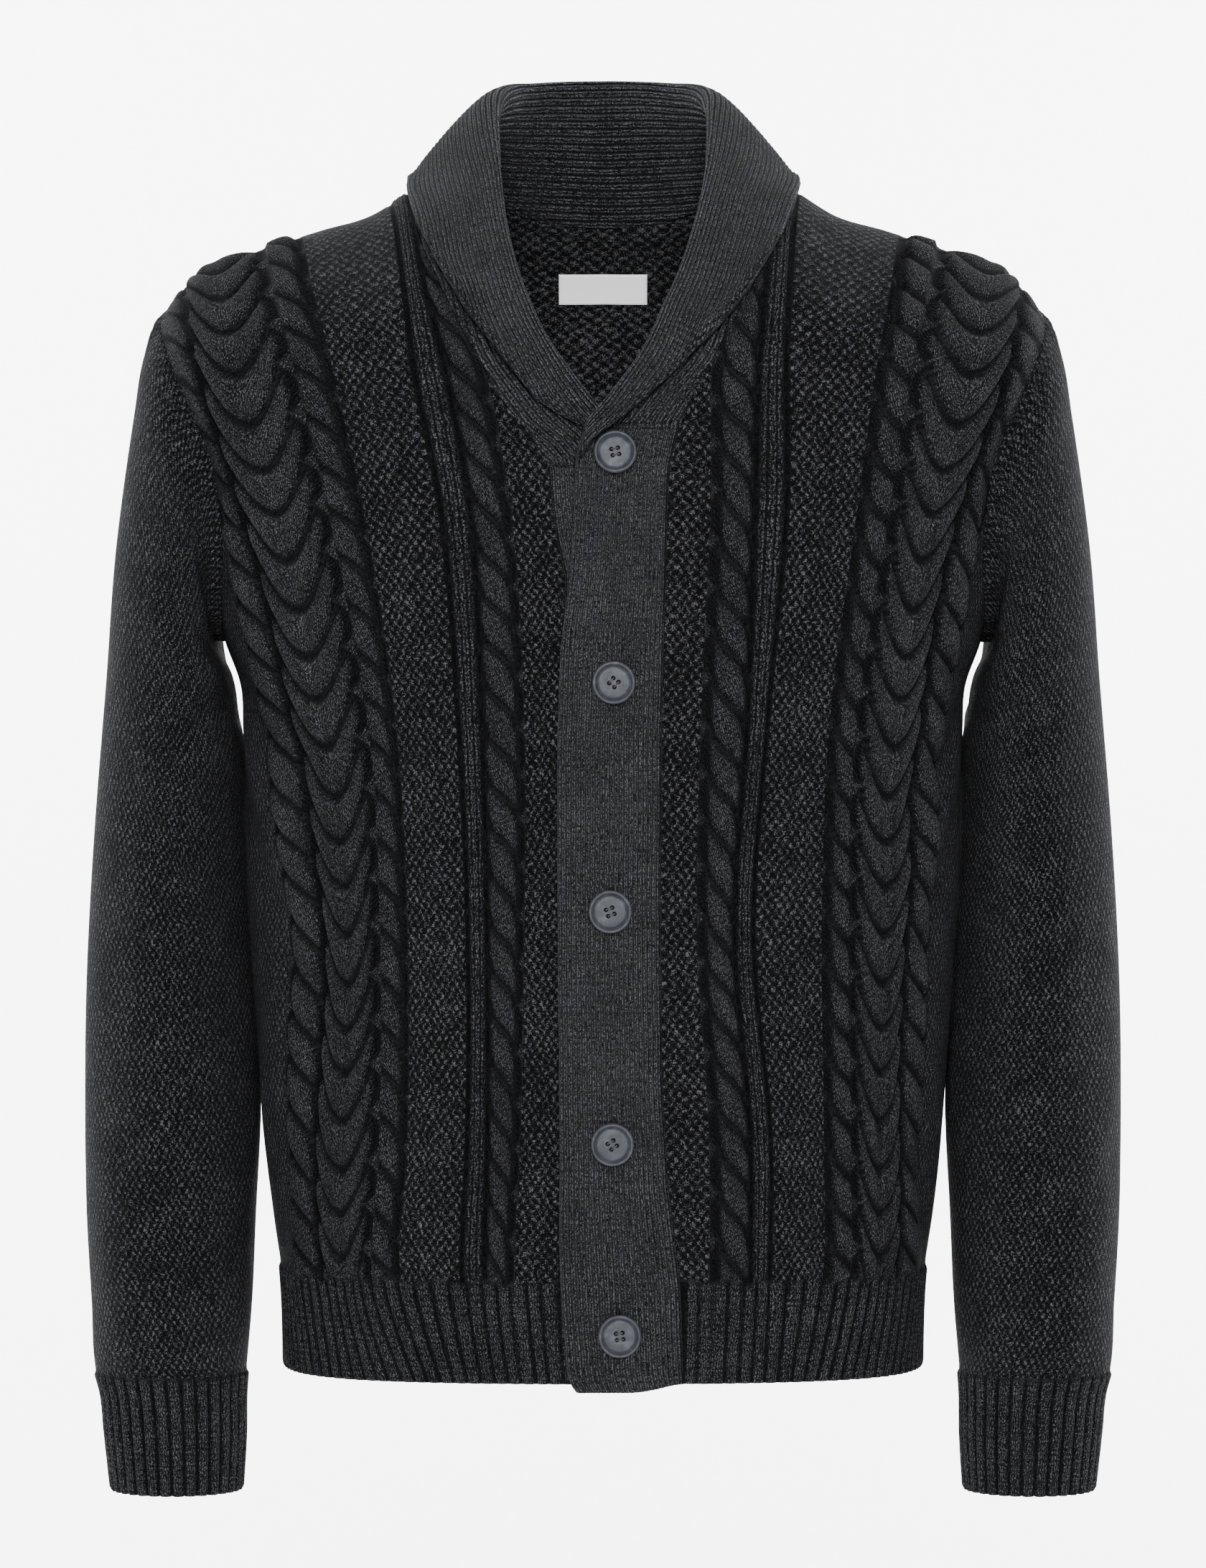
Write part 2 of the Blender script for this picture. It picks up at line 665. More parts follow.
def wale_relief(relief: Relief, place: Array, height: Array, left: float, right: float) -> None:
    """Add a plain rib of three wales between two purl valleys."""
    width = right - left
    share = (place - left) / width
    reach = np.abs(2 * share - 1)
    crest = np.clip(1 - reach ** 4, 0.0, 1.0)
    ripple = np.abs(np.sin(3 * math.pi * share))
    lift = crest * WALE_CREST * (0.45 + 0.55 * ripple ** 0.6)
    valley = bell((reach - 1.12) * width / 2, 0.0015)
    lift = lift + PURL_VALLEY * valley
    stitch = np.stack([3 * share, height / STITCH_TALL], axis=-1)
    between = 0.55 * smooth_step((0.5 - ripple) / 0.4) * crest
    relief.lay(smooth_step((1.42 - reach) / 0.12), lift, stitch, np.maximum(valley, between))


def rib_relief(relief: Relief, phase: Array, run: Array, share: Array) -> None:
    """Add ribs, one for each whole phase, with a narrow purl groove between them.

    Args:
        relief: changed in place.
        phase: count of ribs across the cloth; a groove lies at each whole number.
        run: distance along the ribs.
        share: 1 where the ribs are whole, 0 where there are none.
    """
    ridge = np.abs(np.sin(math.pi * phase)) ** 0.45
    lift = RIB_VALLEY + (RIB_RIDGE - RIB_VALLEY) * ridge
    stitch = np.stack([3 * phase, run / STITCH_TALL], axis=-1)
    relief.lay(share, lift, stitch, smooth_step((0.74 - ridge) / 0.5))


CREASES = np.array([
    # across  height  across  height  width   depth: soft troughs (-) and ridges (+) in the body's cloth
    [0.262, -0.275, 0.150, -0.345, 0.016, -0.0030],
    [0.268, -0.300, 0.175, -0.385, 0.014, 0.0026],
    [0.258, -0.330, 0.190, -0.440, 0.015, -0.0024],
    [0.225, -0.225, 0.196, -0.120, 0.016, -0.0028],
    [0.205, -0.240, 0.176, -0.135, 0.015, 0.0022],
    [0.240, -0.600, 0.200, -0.545, 0.014, -0.0026],
    [0.150, -0.602, 0.128, -0.560, 0.012, -0.0020],
    [0.080, -0.604, 0.068, -0.570, 0.012, -0.0018],
    [0.268, -0.560, 0.220, -0.480, 0.018, 0.0026],
    [0.180, -0.598, 0.172, -0.520, 0.014, 0.0022],
    [0.110, -0.600, 0.096, -0.530, 0.013, 0.0016],
    [0.095, -0.120, 0.150, -0.300, 0.030, 0.0022],
])


def one_crease(beside: Array, along: Array, way_x: Array | float, way_z: float, width: float
               ) -> Array:
    """Strength of one straight crease, fullest at its middle.

    Args:
        beside: distance across the cloth from the crease's start.
        along: distance down the cloth from its start.
        way_x: how far the crease runs across.
        way_z: how far it runs down.
        width: half its width.

    Returns:
        0 away from the crease, up to 1 on it.
    """
    share = np.clip((beside * way_x + along * way_z) / (way_x ** 2 + way_z ** 2), 0.0, 1.0)
    gap = np.hypot(beside - share * way_x, along - share * way_z)
    return bell(gap, width) * (0.35 + 0.65 * np.sin(math.pi * (0.15 + 0.7 * share)))


def crease_lift(place: Array, height: Array, uneven: float) -> Array:
    """Soft creases of the body's cloth.

    Args:
        place: distance across the cloth from the centre.
        height: height up the cloth.
        uneven: shifts and scales the creases, so that no two panels match.

    Returns:
        How far each point stands out.
    """
    out = np.zeros_like(place)
    for number, (a_x, a_z, b_x, b_z, width, depth) in enumerate(CREASES):
        shift = 0.010 * math.sin(uneven * 3.1 + number * 1.7)
        grow = 1.0 + 0.45 * math.sin(uneven * 5.3 + number * 2.9)
        out += depth * grow * one_crease(place - a_x, height - a_z - shift, b_x - a_x, b_z - a_z, width)
    return out


# ------------------------------------------------------------------ walls
@dataclass
class Skin:
    """One side of a cloth: a grid of points, which of them are the same point, and its knitting.

    turned says that its rows run the other way, so that its faces turn round.
    """

    points: Array
    ids: Array
    chart: Array
    relief: Relief
    turned: bool = False

    def triangles(self) -> tuple[Array, Array]:
        """Triangles as point numbers and as places in the grid."""
        rows, columns = self.ids.shape
        cell = np.arange(rows * columns).reshape(rows, columns)
        a, b = cell[:-1, :-1].ravel(), cell[:-1, 1:].ravel()
        c, d = cell[1:, 1:].ravel(), cell[1:, :-1].ravel()
        if self.turned:
            a, b, c, d = b, a, d, c
        corners = np.concatenate([np.stack([a, b, c], axis=1), np.stack([a, c, d], axis=1)])
        numbers = self.ids.ravel()[corners]
        good = numbers[:, 0] != numbers[:, 1]
        good &= numbers[:, 1] != numbers[:, 2]
        good &= numbers[:, 0] != numbers[:, 2]
        return numbers[good], corners[good]


def same_points(chart: Array) -> Array:
    """Number the grid's places so that equal ones share a number."""
    flat = np.round(chart.reshape(-1, 2) * 1e7).astype(np.int64)
    _, first, numbers = np.unique(flat, axis=0, return_index=True, return_inverse=True)
    return first[numbers.ravel()].reshape(chart.shape[:2])


def border_loops(faces: Array) -> list[list[int]]:
    """Loops of border edges, each in the direction of its faces."""
    size = int(faces.max()) + 1
    ways = np.concatenate([faces[:, [0, 1]], faces[:, [1, 2]], faces[:, [2, 0]]]).astype(np.int64)
    forward = ways[:, 0] * size + ways[:, 1]
    backward = ways[:, 1] * size + ways[:, 0]
    following = {int(a): int(b) for a, b in ways[~np.isin(forward, backward)]}
    loops = []
    while following:
        first = next(iter(following))
        loop = [first]
        step = following.pop(first)
        while step != first:
            loop.append(step)
            step = following.pop(step)
        loops.append(loop)
    return loops


def turned_to(loop: list[int], chart: Array, start: Array) -> tuple[list[int], Array]:
    """Start a loop at the place nearest to start, and give its share of the way round at each step."""
    first = int(np.argmin(np.linalg.norm(chart[loop] - start, axis=1)))
    loop = loop[first:] + loop[:first]
    run = run_along(chart[loop + loop[:1]])
    return loop, run / run[-1]


def zip_loops(outer: list[int], inner: list[int], far: Array, near: Array) -> list[tuple[int, int, int]]:
    """Triangles of the rim between an outer loop and an inner one with other steps."""
    faces = []
    i = 0
    j = 0
    while i < len(outer) or j < len(inner):
        ahead_outer = far[i + 1] if i < len(outer) else 9.0
        ahead_inner = near[j + 1] if j < len(inner) else 9.0
        a = outer[i % len(outer)]
        b = inner[j % len(inner)]
        if ahead_outer <= ahead_inner:
            faces.append((outer[(i + 1) % len(outer)], a, b))
            i += 1
        else:
            faces.append((a, b, inner[(j + 1) % len(inner)]))
            j += 1
    return faces


def add_object(name: str, mesh: bpy.types.Mesh, finish: Material) -> Thing:
    """Put a smooth mesh in the scene with its finish."""
    mesh.shade_smooth()
    mesh.materials.append(finish)
    piece = bpy.data.objects.new(name, mesh)
    bpy.context.scene.collection.objects.link(piece)
    return piece


def wall(name: str, outer: Skin, inner: Skin, starts: Sequence[Array], finish: Material
         ) -> Thing:
    """Close two skins into a thin wall.

    Args:
        name: name of the piece.
        outer: its finely knitted side.
        inner: its plain side, on the same chart.
        starts: a chart place on each border, where the two skins' loops are matched.
        finish: its material.

    Returns:
        The piece.
    """
    skins = (outer, inner)
    (outer_faces, outer_corners), (inner_faces, inner_corners) = (skin.triangles() for skin in skins)
    shift = outer.ids.size
    points = np.vstack([skin.points.reshape(-1, 3) for skin in skins])
    stitch = np.vstack([skin.relief.stitch.reshape(-1, 2) for skin in skins])
    moss = np.concatenate([skin.relief.moss.ravel() for skin in skins])
    hollow = np.concatenate([skin.relief.hollow.ravel() for skin in skins])
    charts = [skin.chart.reshape(-1, 2) for skin in skins]
    borders = [border_loops(faces) for faces in (outer_faces, inner_faces)]
    rims = []
    for start in starts:
        pairs = []
        for loops, chart in zip(borders, charts):
            gaps = [np.linalg.norm(chart[loop] - start, axis=1).min() for loop in loops]
            pairs.append(turned_to(loops[int(np.argmin(gaps))], chart, start))
        (far_loop, far), (near_loop, near) = pairs
        rims += zip_loops(far_loop, [number + shift for number in near_loop], far, near)
    rim = np.array(rims)
    faces = np.vstack([outer_faces, inner_faces[:, ::-1] + shift, rim])
    corners = np.vstack([outer_corners, inner_corners[:, ::-1] + shift, rim])
    used, compact = np.unique(faces, return_inverse=True)
    compact = compact.reshape(faces.shape)
    mesh = bpy.data.meshes.new(name)
    mesh.from_pydata(points[used].tolist(), [], compact.tolist())
    layer = mesh.uv_layers.new(name="stitch")
    layer.data.foreach_set("uv", stitch[corners.ravel()].astype(np.float32).ravel())
    for title, values in (("moss", moss), ("hollow", hollow)):
        attribute = mesh.attributes.new(title, "FLOAT", "POINT")
        attribute.data.foreach_set("value", values[used].astype(np.float32))
    return add_object(name, mesh, finish)


@dataclass
class PanelShape:
    """Outline of a flat panel on its chart, as limits at each height and place."""

    inner_heights: Array
    inner_places: Array
    outer_heights: Array
    outer_places: Array
    top_places: Array
    top_heights: Array
    both_sides: bool = False

    def inner_at(self, height: Array) -> Array:
        """Inner limit at each height."""
        return np.interp(height, self.inner_heights, self.inner_places)

    def outer_at(self, height: Array) -> Array:
        """Outer limit at each height."""
        return np.interp(height, self.outer_heights, self.outer_places)

    def top_at(self, place: Array) -> Array:
        """Upper limit at each place."""
        return np.interp(np.abs(place), self.top_places, self.top_heights)

    def grid(self, columns: Array, rows: Array) -> Array:
        """Chart grid cut to the outline: places beyond it are drawn in to the edge."""
        place, height = np.meshgrid(columns, rows)
        height = np.minimum(height, self.top_at(place))
        if self.both_sides:
            limit = self.outer_at(height)
            place = np.clip(place, -limit, limit)
        else:
            place = np.clip(place, self.inner_at(height), self.outer_at(height))
        return np.stack([place, height], axis=-1)

    def top_gap(self, chart: Array) -> Array:
        """Distance of each place from the shoulder line and the upper armhole."""
        place, height = chart[..., 0], chart[..., 1]
        beside = self.outer_at(height) - np.abs(place) + 0.25 * np.maximum(-0.060 - height, 0.0)
        return np.minimum(self.top_at(place) - height, beside)

    def seam_gap(self, chart: Array) -> Array:
        """Distance of each place from the nearest seam, the side seams left out."""
        place, height = chart[..., 0], chart[..., 1]
        gap = self.top_at(place) - height
        if not self.both_sides:
            gap = np.minimum(gap, place - self.inner_at(height))
        beside = self.outer_at(height) - np.abs(place)
        return np.where(height > UNDERARM - 0.004, np.minimum(gap, beside), gap)


def seam_directions(chart: Array, ways: Array, points: Array, side: float, behind: bool,
                    cloth: FrontCloth | BackCloth) -> Array:
    """Turn the cloth's directions to the armhole's own near that seam."""
    turns = np.linspace(0.0, 180.0, 91)
    seam = []
    facing = []
    for turn in turns:
        angle, height = armhole_chart(float(turn), behind)
        seam.append(((side if behind else 1.0) * cloth.cloth_at(angle, height), height))
        facing.append(armhole_facing(armhole_point(float(360.0 - turn if behind else turn), side), side))
    seam = np.array(seam)
    facing = np.array(facing)
    close = (chart[:, 1] > UNDERARM - 0.02) & (np.sign(points[:, 0]) == np.sign(side))
    numbers = np.flatnonzero(close)
    gaps = np.linalg.norm(chart[numbers, None, :] - seam[None, :, :], axis=2)
    nearest = gaps.argmin(axis=1)
    share = smooth_step(1.2 - gaps.min(axis=1) / SEAM_EASE)[:, None]
    turned = ways.copy()
    turned[numbers] = unit(ways[numbers] * (1 - share) + facing[nearest] * share)
    return turned


# ------------------------------------------------------------------ finishes
class Graph:
    """A material's node tree, with short calls that add and join nodes."""

    def __init__(self, name: str) -> None:
        """Start an empty material with a Principled shader."""
        self.material = bpy.data.materials.new(name)
        self.material.use_nodes = True
        self.tree = self.material.node_tree
        self.shader = self.tree.nodes["Principled BSDF"]

    def set(self, **values: float | tuple) -> None:
        """Set the shader's own values: roughness=0.5 sets Roughness."""
        for name, value in values.items():
            self.shader.inputs[name.replace("_", " ").title().replace("Ior", "IOR")].default_value = value

    def join(self, value: Socket | float | tuple, socket: Socket) -> None:
        """Feed a socket with another socket, or set its own value."""
        if isinstance(value, Socket):
            self.tree.links.new(value, socket)
        else:
            socket.default_value = value

    def math(self, operation: str, *values: Socket | float) -> Socket:
        """Add a Math node and return its result."""
        node = self.tree.nodes.new("ShaderNodeMath")
        node.operation = operation
        for value, socket in zip(values, node.inputs):
            self.join(value, socket)
        return node.outputs[0]

    def noise(self, vector: Socket, scale: float, detail: float = 2.0) -> Socket:
        """Add a Noise Texture and return its value."""
        node = self.tree.nodes.new("ShaderNodeTexNoise")
        node.inputs["Scale"].default_value = scale
        node.inputs["Detail"].default_value = detail
        self.tree.links.new(vector, node.inputs["Vector"])
        return node.outputs["Fac"]

    def swing(self, vector: Socket, scale: float, detail: float = 2.0) -> Socket:
        """Noise about zero."""
        return self.math("SUBTRACT", self.noise(vector, scale, detail), 0.5)

    def place(self) -> Socket:
        """Object coordinates."""
        return self.tree.nodes.new("ShaderNodeTexCoord").outputs["Object"]

    def stitch(self) -> tuple[Socket, Socket]:
        """Stitch counts across and up, from the piece's own map."""
        node = self.tree.nodes.new("ShaderNodeUVMap")
        node.uv_map = "stitch"
        parts = self.tree.nodes.new("ShaderNodeSeparateXYZ")
        self.tree.links.new(node.outputs[0], parts.inputs[0])
        return parts.outputs[0], parts.outputs[1]

    def attribute(self, name: str) -> Socket:
        """One number kept on the piece's points."""
        node = self.tree.nodes.new("ShaderNodeAttribute")
        node.attribute_name = name
        return node.outputs["Fac"]

    def ramp(self, value: Socket, stops: Sequence[tuple[float, tuple]]) -> Socket:
        """Add a Color Ramp and return its colour."""
        node = self.tree.nodes.new("ShaderNodeValToRGB")
        ramp = node.color_ramp
        while len(ramp.elements) < len(stops):
            ramp.elements.new(0.5)
        for element, (position, colour) in zip(ramp.elements, stops):
            element.position = position
            element.color = (*colour, 1.0)
        self.tree.links.new(value, node.inputs[0])
        return node.outputs[0]

    def mix(self, share: Socket | float, first: Socket | tuple,
            second: Socket | tuple, blend: str = "MIX") -> Socket:
        """Mix two colours."""
        node = self.tree.nodes.new("ShaderNodeMix")
        node.data_type = "RGBA"
        node.blend_type = blend
        self.join(share, node.inputs[0])
        self.join(first if isinstance(first, Socket) else (*first, 1.0), node.inputs[6])
        self.join(second if isinstance(second, Socket) else (*second, 1.0), node.inputs[7])
        return node.outputs[2]

    def bump(self, height: Socket, distance: float, strength: float) -> None:
        """Raise the shader's surface by a height."""
        node = self.tree.nodes.new("ShaderNodeBump")
        node.inputs["Distance"].default_value = distance
        node.inputs["Strength"].default_value = strength
        self.tree.links.new(height, node.inputs["Height"])
        self.tree.links.new(node.outputs[0], self.shader.inputs["Normal"])


@dataclass(frozen=True)
class YarnFinish:
    """Knitted charcoal yarn: stitches, loose fibres and a faint mottle of blue and black.

    tones run from the deepest to the lightest, in linear light. depth is the height of a stitch in metres.
    fuzz is the strength of the loose fibres, stir how unevenly the stitches lie, and rows how far one row
    stands out from the next.
    """

    name: str
    tones: tuple[float, ...] = (0.0001, 0.0006, 0.0038, 0.0150, 0.0620)
    depth: float = 0.0014
    fuzz: float = 3.3
    sheen: float = 0.02
    stir: float = 1.0
    rows: float = 0.48

    def make(self) -> Material:
        """Build the material."""
        graph = Graph(self.name)
        place = graph.place()
        across, up = graph.stitch()
        for scale, reach in ((150.0, 1.3 * self.stir), (620.0, 0.5 * self.stir)):
            across = graph.math("MULTIPLY_ADD", graph.swing(place, scale), reach, across)
            up = graph.math("MULTIPLY_ADD", graph.swing(place, scale * 1.13), reach, up)
        plain = self.plain_stitch(graph, across, up)
        moss = self.moss_stitch(graph, across, up)
        share = graph.attribute("moss")
        knit = graph.math("ADD", graph.math("MULTIPLY", plain, graph.math("SUBTRACT", 1.0, share)),
                          graph.math("MULTIPLY", moss, share))
        fibre = graph.swing(place, 1350.0, 3.0)
        height = graph.math("MULTIPLY_ADD", fibre, 1.3, knit)
        tone = graph.math("MULTIPLY_ADD", fibre, self.fuzz, graph.math("MULTIPLY_ADD", knit, 0.78, 0.05))
        tone = graph.math("MULTIPLY_ADD", graph.attribute("hollow"), -1.15, tone)
        tone = graph.math("MULTIPLY_ADD", graph.swing(place, 45.0, 3.0), 0.35, tone)
        stops = [(at, (grey, grey, grey * 1.05)) for at, grey in zip((0.0, 0.25, 0.5, 0.75, 1.0), self.tones)]
        colour = graph.ramp(tone, stops)
        patch = graph.ramp(graph.noise(place, 120.0, 4.0), ((0.50, (0, 0, 0)), (0.66, (1, 1, 1))))
        blue = graph.mix(1.0, colour, (0.94, 0.96, 1.22), "MULTIPLY")
        colour = graph.mix(graph.math("MULTIPLY", patch, 0.6), colour, blue)
        graph.join(colour, graph.shader.inputs["Base Color"])
        graph.bump(height, self.depth, 1.0)
        graph.set(roughness=0.95, specular_ior_level=0.04, sheen_weight=self.sheen, sheen_roughness=0.5,
                  sheen_tint=(0.8, 0.82, 0.9, 1.0))
        return graph.material

    def plain_stitch(self, graph: Graph, across: Socket, up: Socket
                     ) -> Socket:
        """Height of plain knitting: two slanting legs in each stitch, so that each wale is a row of Vs."""
        within = graph.math("FRACT", across)
        half = graph.math("FRACT", graph.math("MULTIPLY", across, 2.0))
        leg = graph.math("SINE", graph.math("MULTIPLY", half, math.pi))
        off_middle = graph.math("MULTIPLY", graph.math("ABSOLUTE", graph.math("SUBTRACT", within, 0.5)), 2.0)
        slanted = graph.math("FRACT", graph.math("MULTIPLY_ADD", off_middle, -0.6, up))
        row = graph.math("SINE", graph.math("MULTIPLY", slanted, math.pi))
        soft = graph.math("MULTIPLY_ADD", graph.math("POWER", row, 0.8), self.rows, 1.0 - self.rows)
        return graph.math("MULTIPLY", graph.math("POWER", leg, 0.8), soft)

    def moss_stitch(self, graph: Graph, across: Socket, up: Socket
                    ) -> Socket:
        """Height of moss stitch: bumps one stitch apart, every second row moved by half a stitch."""
        wave = graph.math("COSINE", graph.math("MULTIPLY", across, 2 * math.pi))
        rows = graph.math("COSINE", graph.math("MULTIPLY", up, math.pi))
        bumps = graph.math("MULTIPLY_ADD", graph.math("MULTIPLY", wave, rows), 0.5, 0.5)
        return graph.math("POWER", bumps, 1.2)


@dataclass(frozen=True)
class ButtonFinish:
    """Moulded grey-blue plastic with a cloudy grain and a soft gloss."""

    name: str = "button_plastic"

    def make(self) -> Material:
        """Build the material."""
        graph = Graph(self.name)
        place = graph.place()
        cloud = graph.noise(place, 220.0, 4.0)
        colour = graph.ramp(cloud, ((0.30, (0.016, 0.018, 0.022)), (0.55, (0.026, 0.028, 0.034)),
                                    (0.75, (0.044, 0.047, 0.055))))
        graph.join(colour, graph.shader.inputs["Base Color"])
        rough = graph.math("MULTIPLY_ADD", graph.noise(place, 900.0, 3.0), 0.20, 0.42)
        graph.join(rough, graph.shader.inputs["Roughness"])
        graph.bump(graph.noise(place, 1300.0, 2.0), 0.00015, 0.5)
        graph.set(specular_ior_level=0.18)
        return graph.material


@dataclass(frozen=True)
class LabelFinish:
    """White woven ribbon."""

    name: str = "label_cloth"

    def make(self) -> Material:
        """Build the material."""
        graph = Graph(self.name)
        place = graph.place()
        parts = graph.tree.nodes.new("ShaderNodeSeparateXYZ")
        graph.tree.links.new(place, parts.inputs[0])
        warp = graph.math("SINE", graph.math("MULTIPLY", parts.outputs[0], 2 * math.pi / 0.0005))
        weft = graph.math("SINE", graph.math("MULTIPLY", parts.outputs[2], 2 * math.pi / 0.0004))
        weave = graph.math("MULTIPLY_ADD", graph.math("MULTIPLY", warp, weft), 0.5, 0.5)
        colour = graph.ramp(weave, ((0.0, (0.62, 0.62, 0.64)), (0.7, (0.82, 0.82, 0.83))))
        graph.join(colour, graph.shader.inputs["Base Color"])
        graph.bump(weave, 0.0002, 0.5)
        graph.set(roughness=0.62, sheen_weight=0.15)
        return graph.material


@dataclass(frozen=True)
class ThreadFinish:
    """Twisted sewing thread, with its ply as a fine stripe."""

    name: str
    colour: tuple[float, float, float]

    def make(self) -> Material:
        """Build the material."""
        graph = Graph(self.name)
        place = graph.place()
        ply = graph.noise(place, 3200.0, 1.0)
        darker = tuple(part * 0.45 for part in self.colour)
        graph.join(graph.ramp(ply, ((0.35, darker), (0.65, self.colour))), graph.shader.inputs["Base Color"])
        graph.bump(ply, 0.0002, 0.6)
        graph.set(roughness=0.7)
        return graph.material


@dataclass(frozen=True)
class PaperFinish:
    """Plain pale studio paper."""

    name: str = "studio_paper"

    def make(self) -> Material:
        """Build the material."""
        graph = Graph(self.name)
        grain = graph.noise(graph.place(), 60.0, 2.0)
        colour = graph.ramp(grain, ((0.3, (0.86, 0.86, 0.86)), (0.7, (0.88, 0.88, 0.88))))
        graph.join(colour, graph.shader.inputs["Base Color"])
        graph.set(roughness=0.9)
        return graph.material


# ------------------------------------------------------------------ the panels
class Panel:
    """What the fronts and the back share: ribs counted along the hem, and a skin off the body's form."""

    cloth: FrontCloth | BackCloth
    shape: PanelShape
    behind: bool
    sides: tuple[float, ...]
    turned: bool

    def rib_count(self, places: Array) -> Array:
        """Places across the cloth, each with its count of ribs at the hem."""
        run = run_along(self.cloth.points(np.stack([places, np.full(len(places), HEM)], axis=1)))
        return np.stack([places, run / run[-1] * round(run[-1] / RIB_PITCH)], axis=1)

    def side_limits(self, flank: float) -> Array:
        """Heights and places along the side and the armhole."""
        limits = [(HEM - 1.0, flank), (UNDERARM - 1e-6, flank)]
        for turn in np.linspace(0.0, 180.0, 121):
            angle, height = armhole_chart(float(turn), self.behind)
            limits.append((height, min(self.cloth.cloth_at(angle, height), flank)))
        return np.array(sorted(limits)).T

    def shoulder_limits(self) -> list[tuple[float, float]]:
        """Places and heights along the shoulder line, from the neck out."""
        limits = []
        for across in np.linspace(NECK_SIDE, SHOULDER_TIP, 61):
            height = shoulder_height(float(across), self.behind) - SEAM / 2
            limits.append((self.cloth.cloth_at(angle_across(float(across), height), height), height))
        return limits

    def ground(self, chart: Array) -> Relief:
        """Plain moss stitch at chart places."""
        return Relief.moss_ground(chart / np.array([STITCH_WIDE, STITCH_TALL]))

    def ease_at_seams(self, relief: Relief, chart: Array) -> None:
        """Let the relief die away at the seams."""
        relief.fade(smooth_step((self.shape.seam_gap(chart) - 0.0006) / 0.005))

    def skin(self, grid: Array, relief: Relief, sunk: float, knitted: bool) -> Skin:
        """One side of the panel.

        Args:
            grid: chart places.
            relief: the knitting at those places.
            sunk: how far the side lies under the body's surface.
            knitted: whether it carries the relief.

        Returns:
            The skin.
        """
        flat = grid.reshape(-1, 2)
        points = self.cloth.points(flat)
        ways = chart_normals(self.cloth, flat)
        for side in self.sides:
            ways = seam_directions(flat, ways, points, side, self.behind, self.cloth)
        lift = self.creases(flat) * smooth_step(self.shape.seam_gap(flat) / CREASE_FADE)
        if knitted:
            lift = lift + relief.lift.ravel() - EDGE_ROLL * bell(flat[:, 1] - HEM, EDGE_SOFT)
        else:
            relief = Relief.moss_ground(relief.stitch)
            relief.hollow -= INSIDE_LIGHTER
        points = points + ways * (lift - sunk)[:, None]
        return Skin(points, same_points(grid), grid, relief, self.turned)


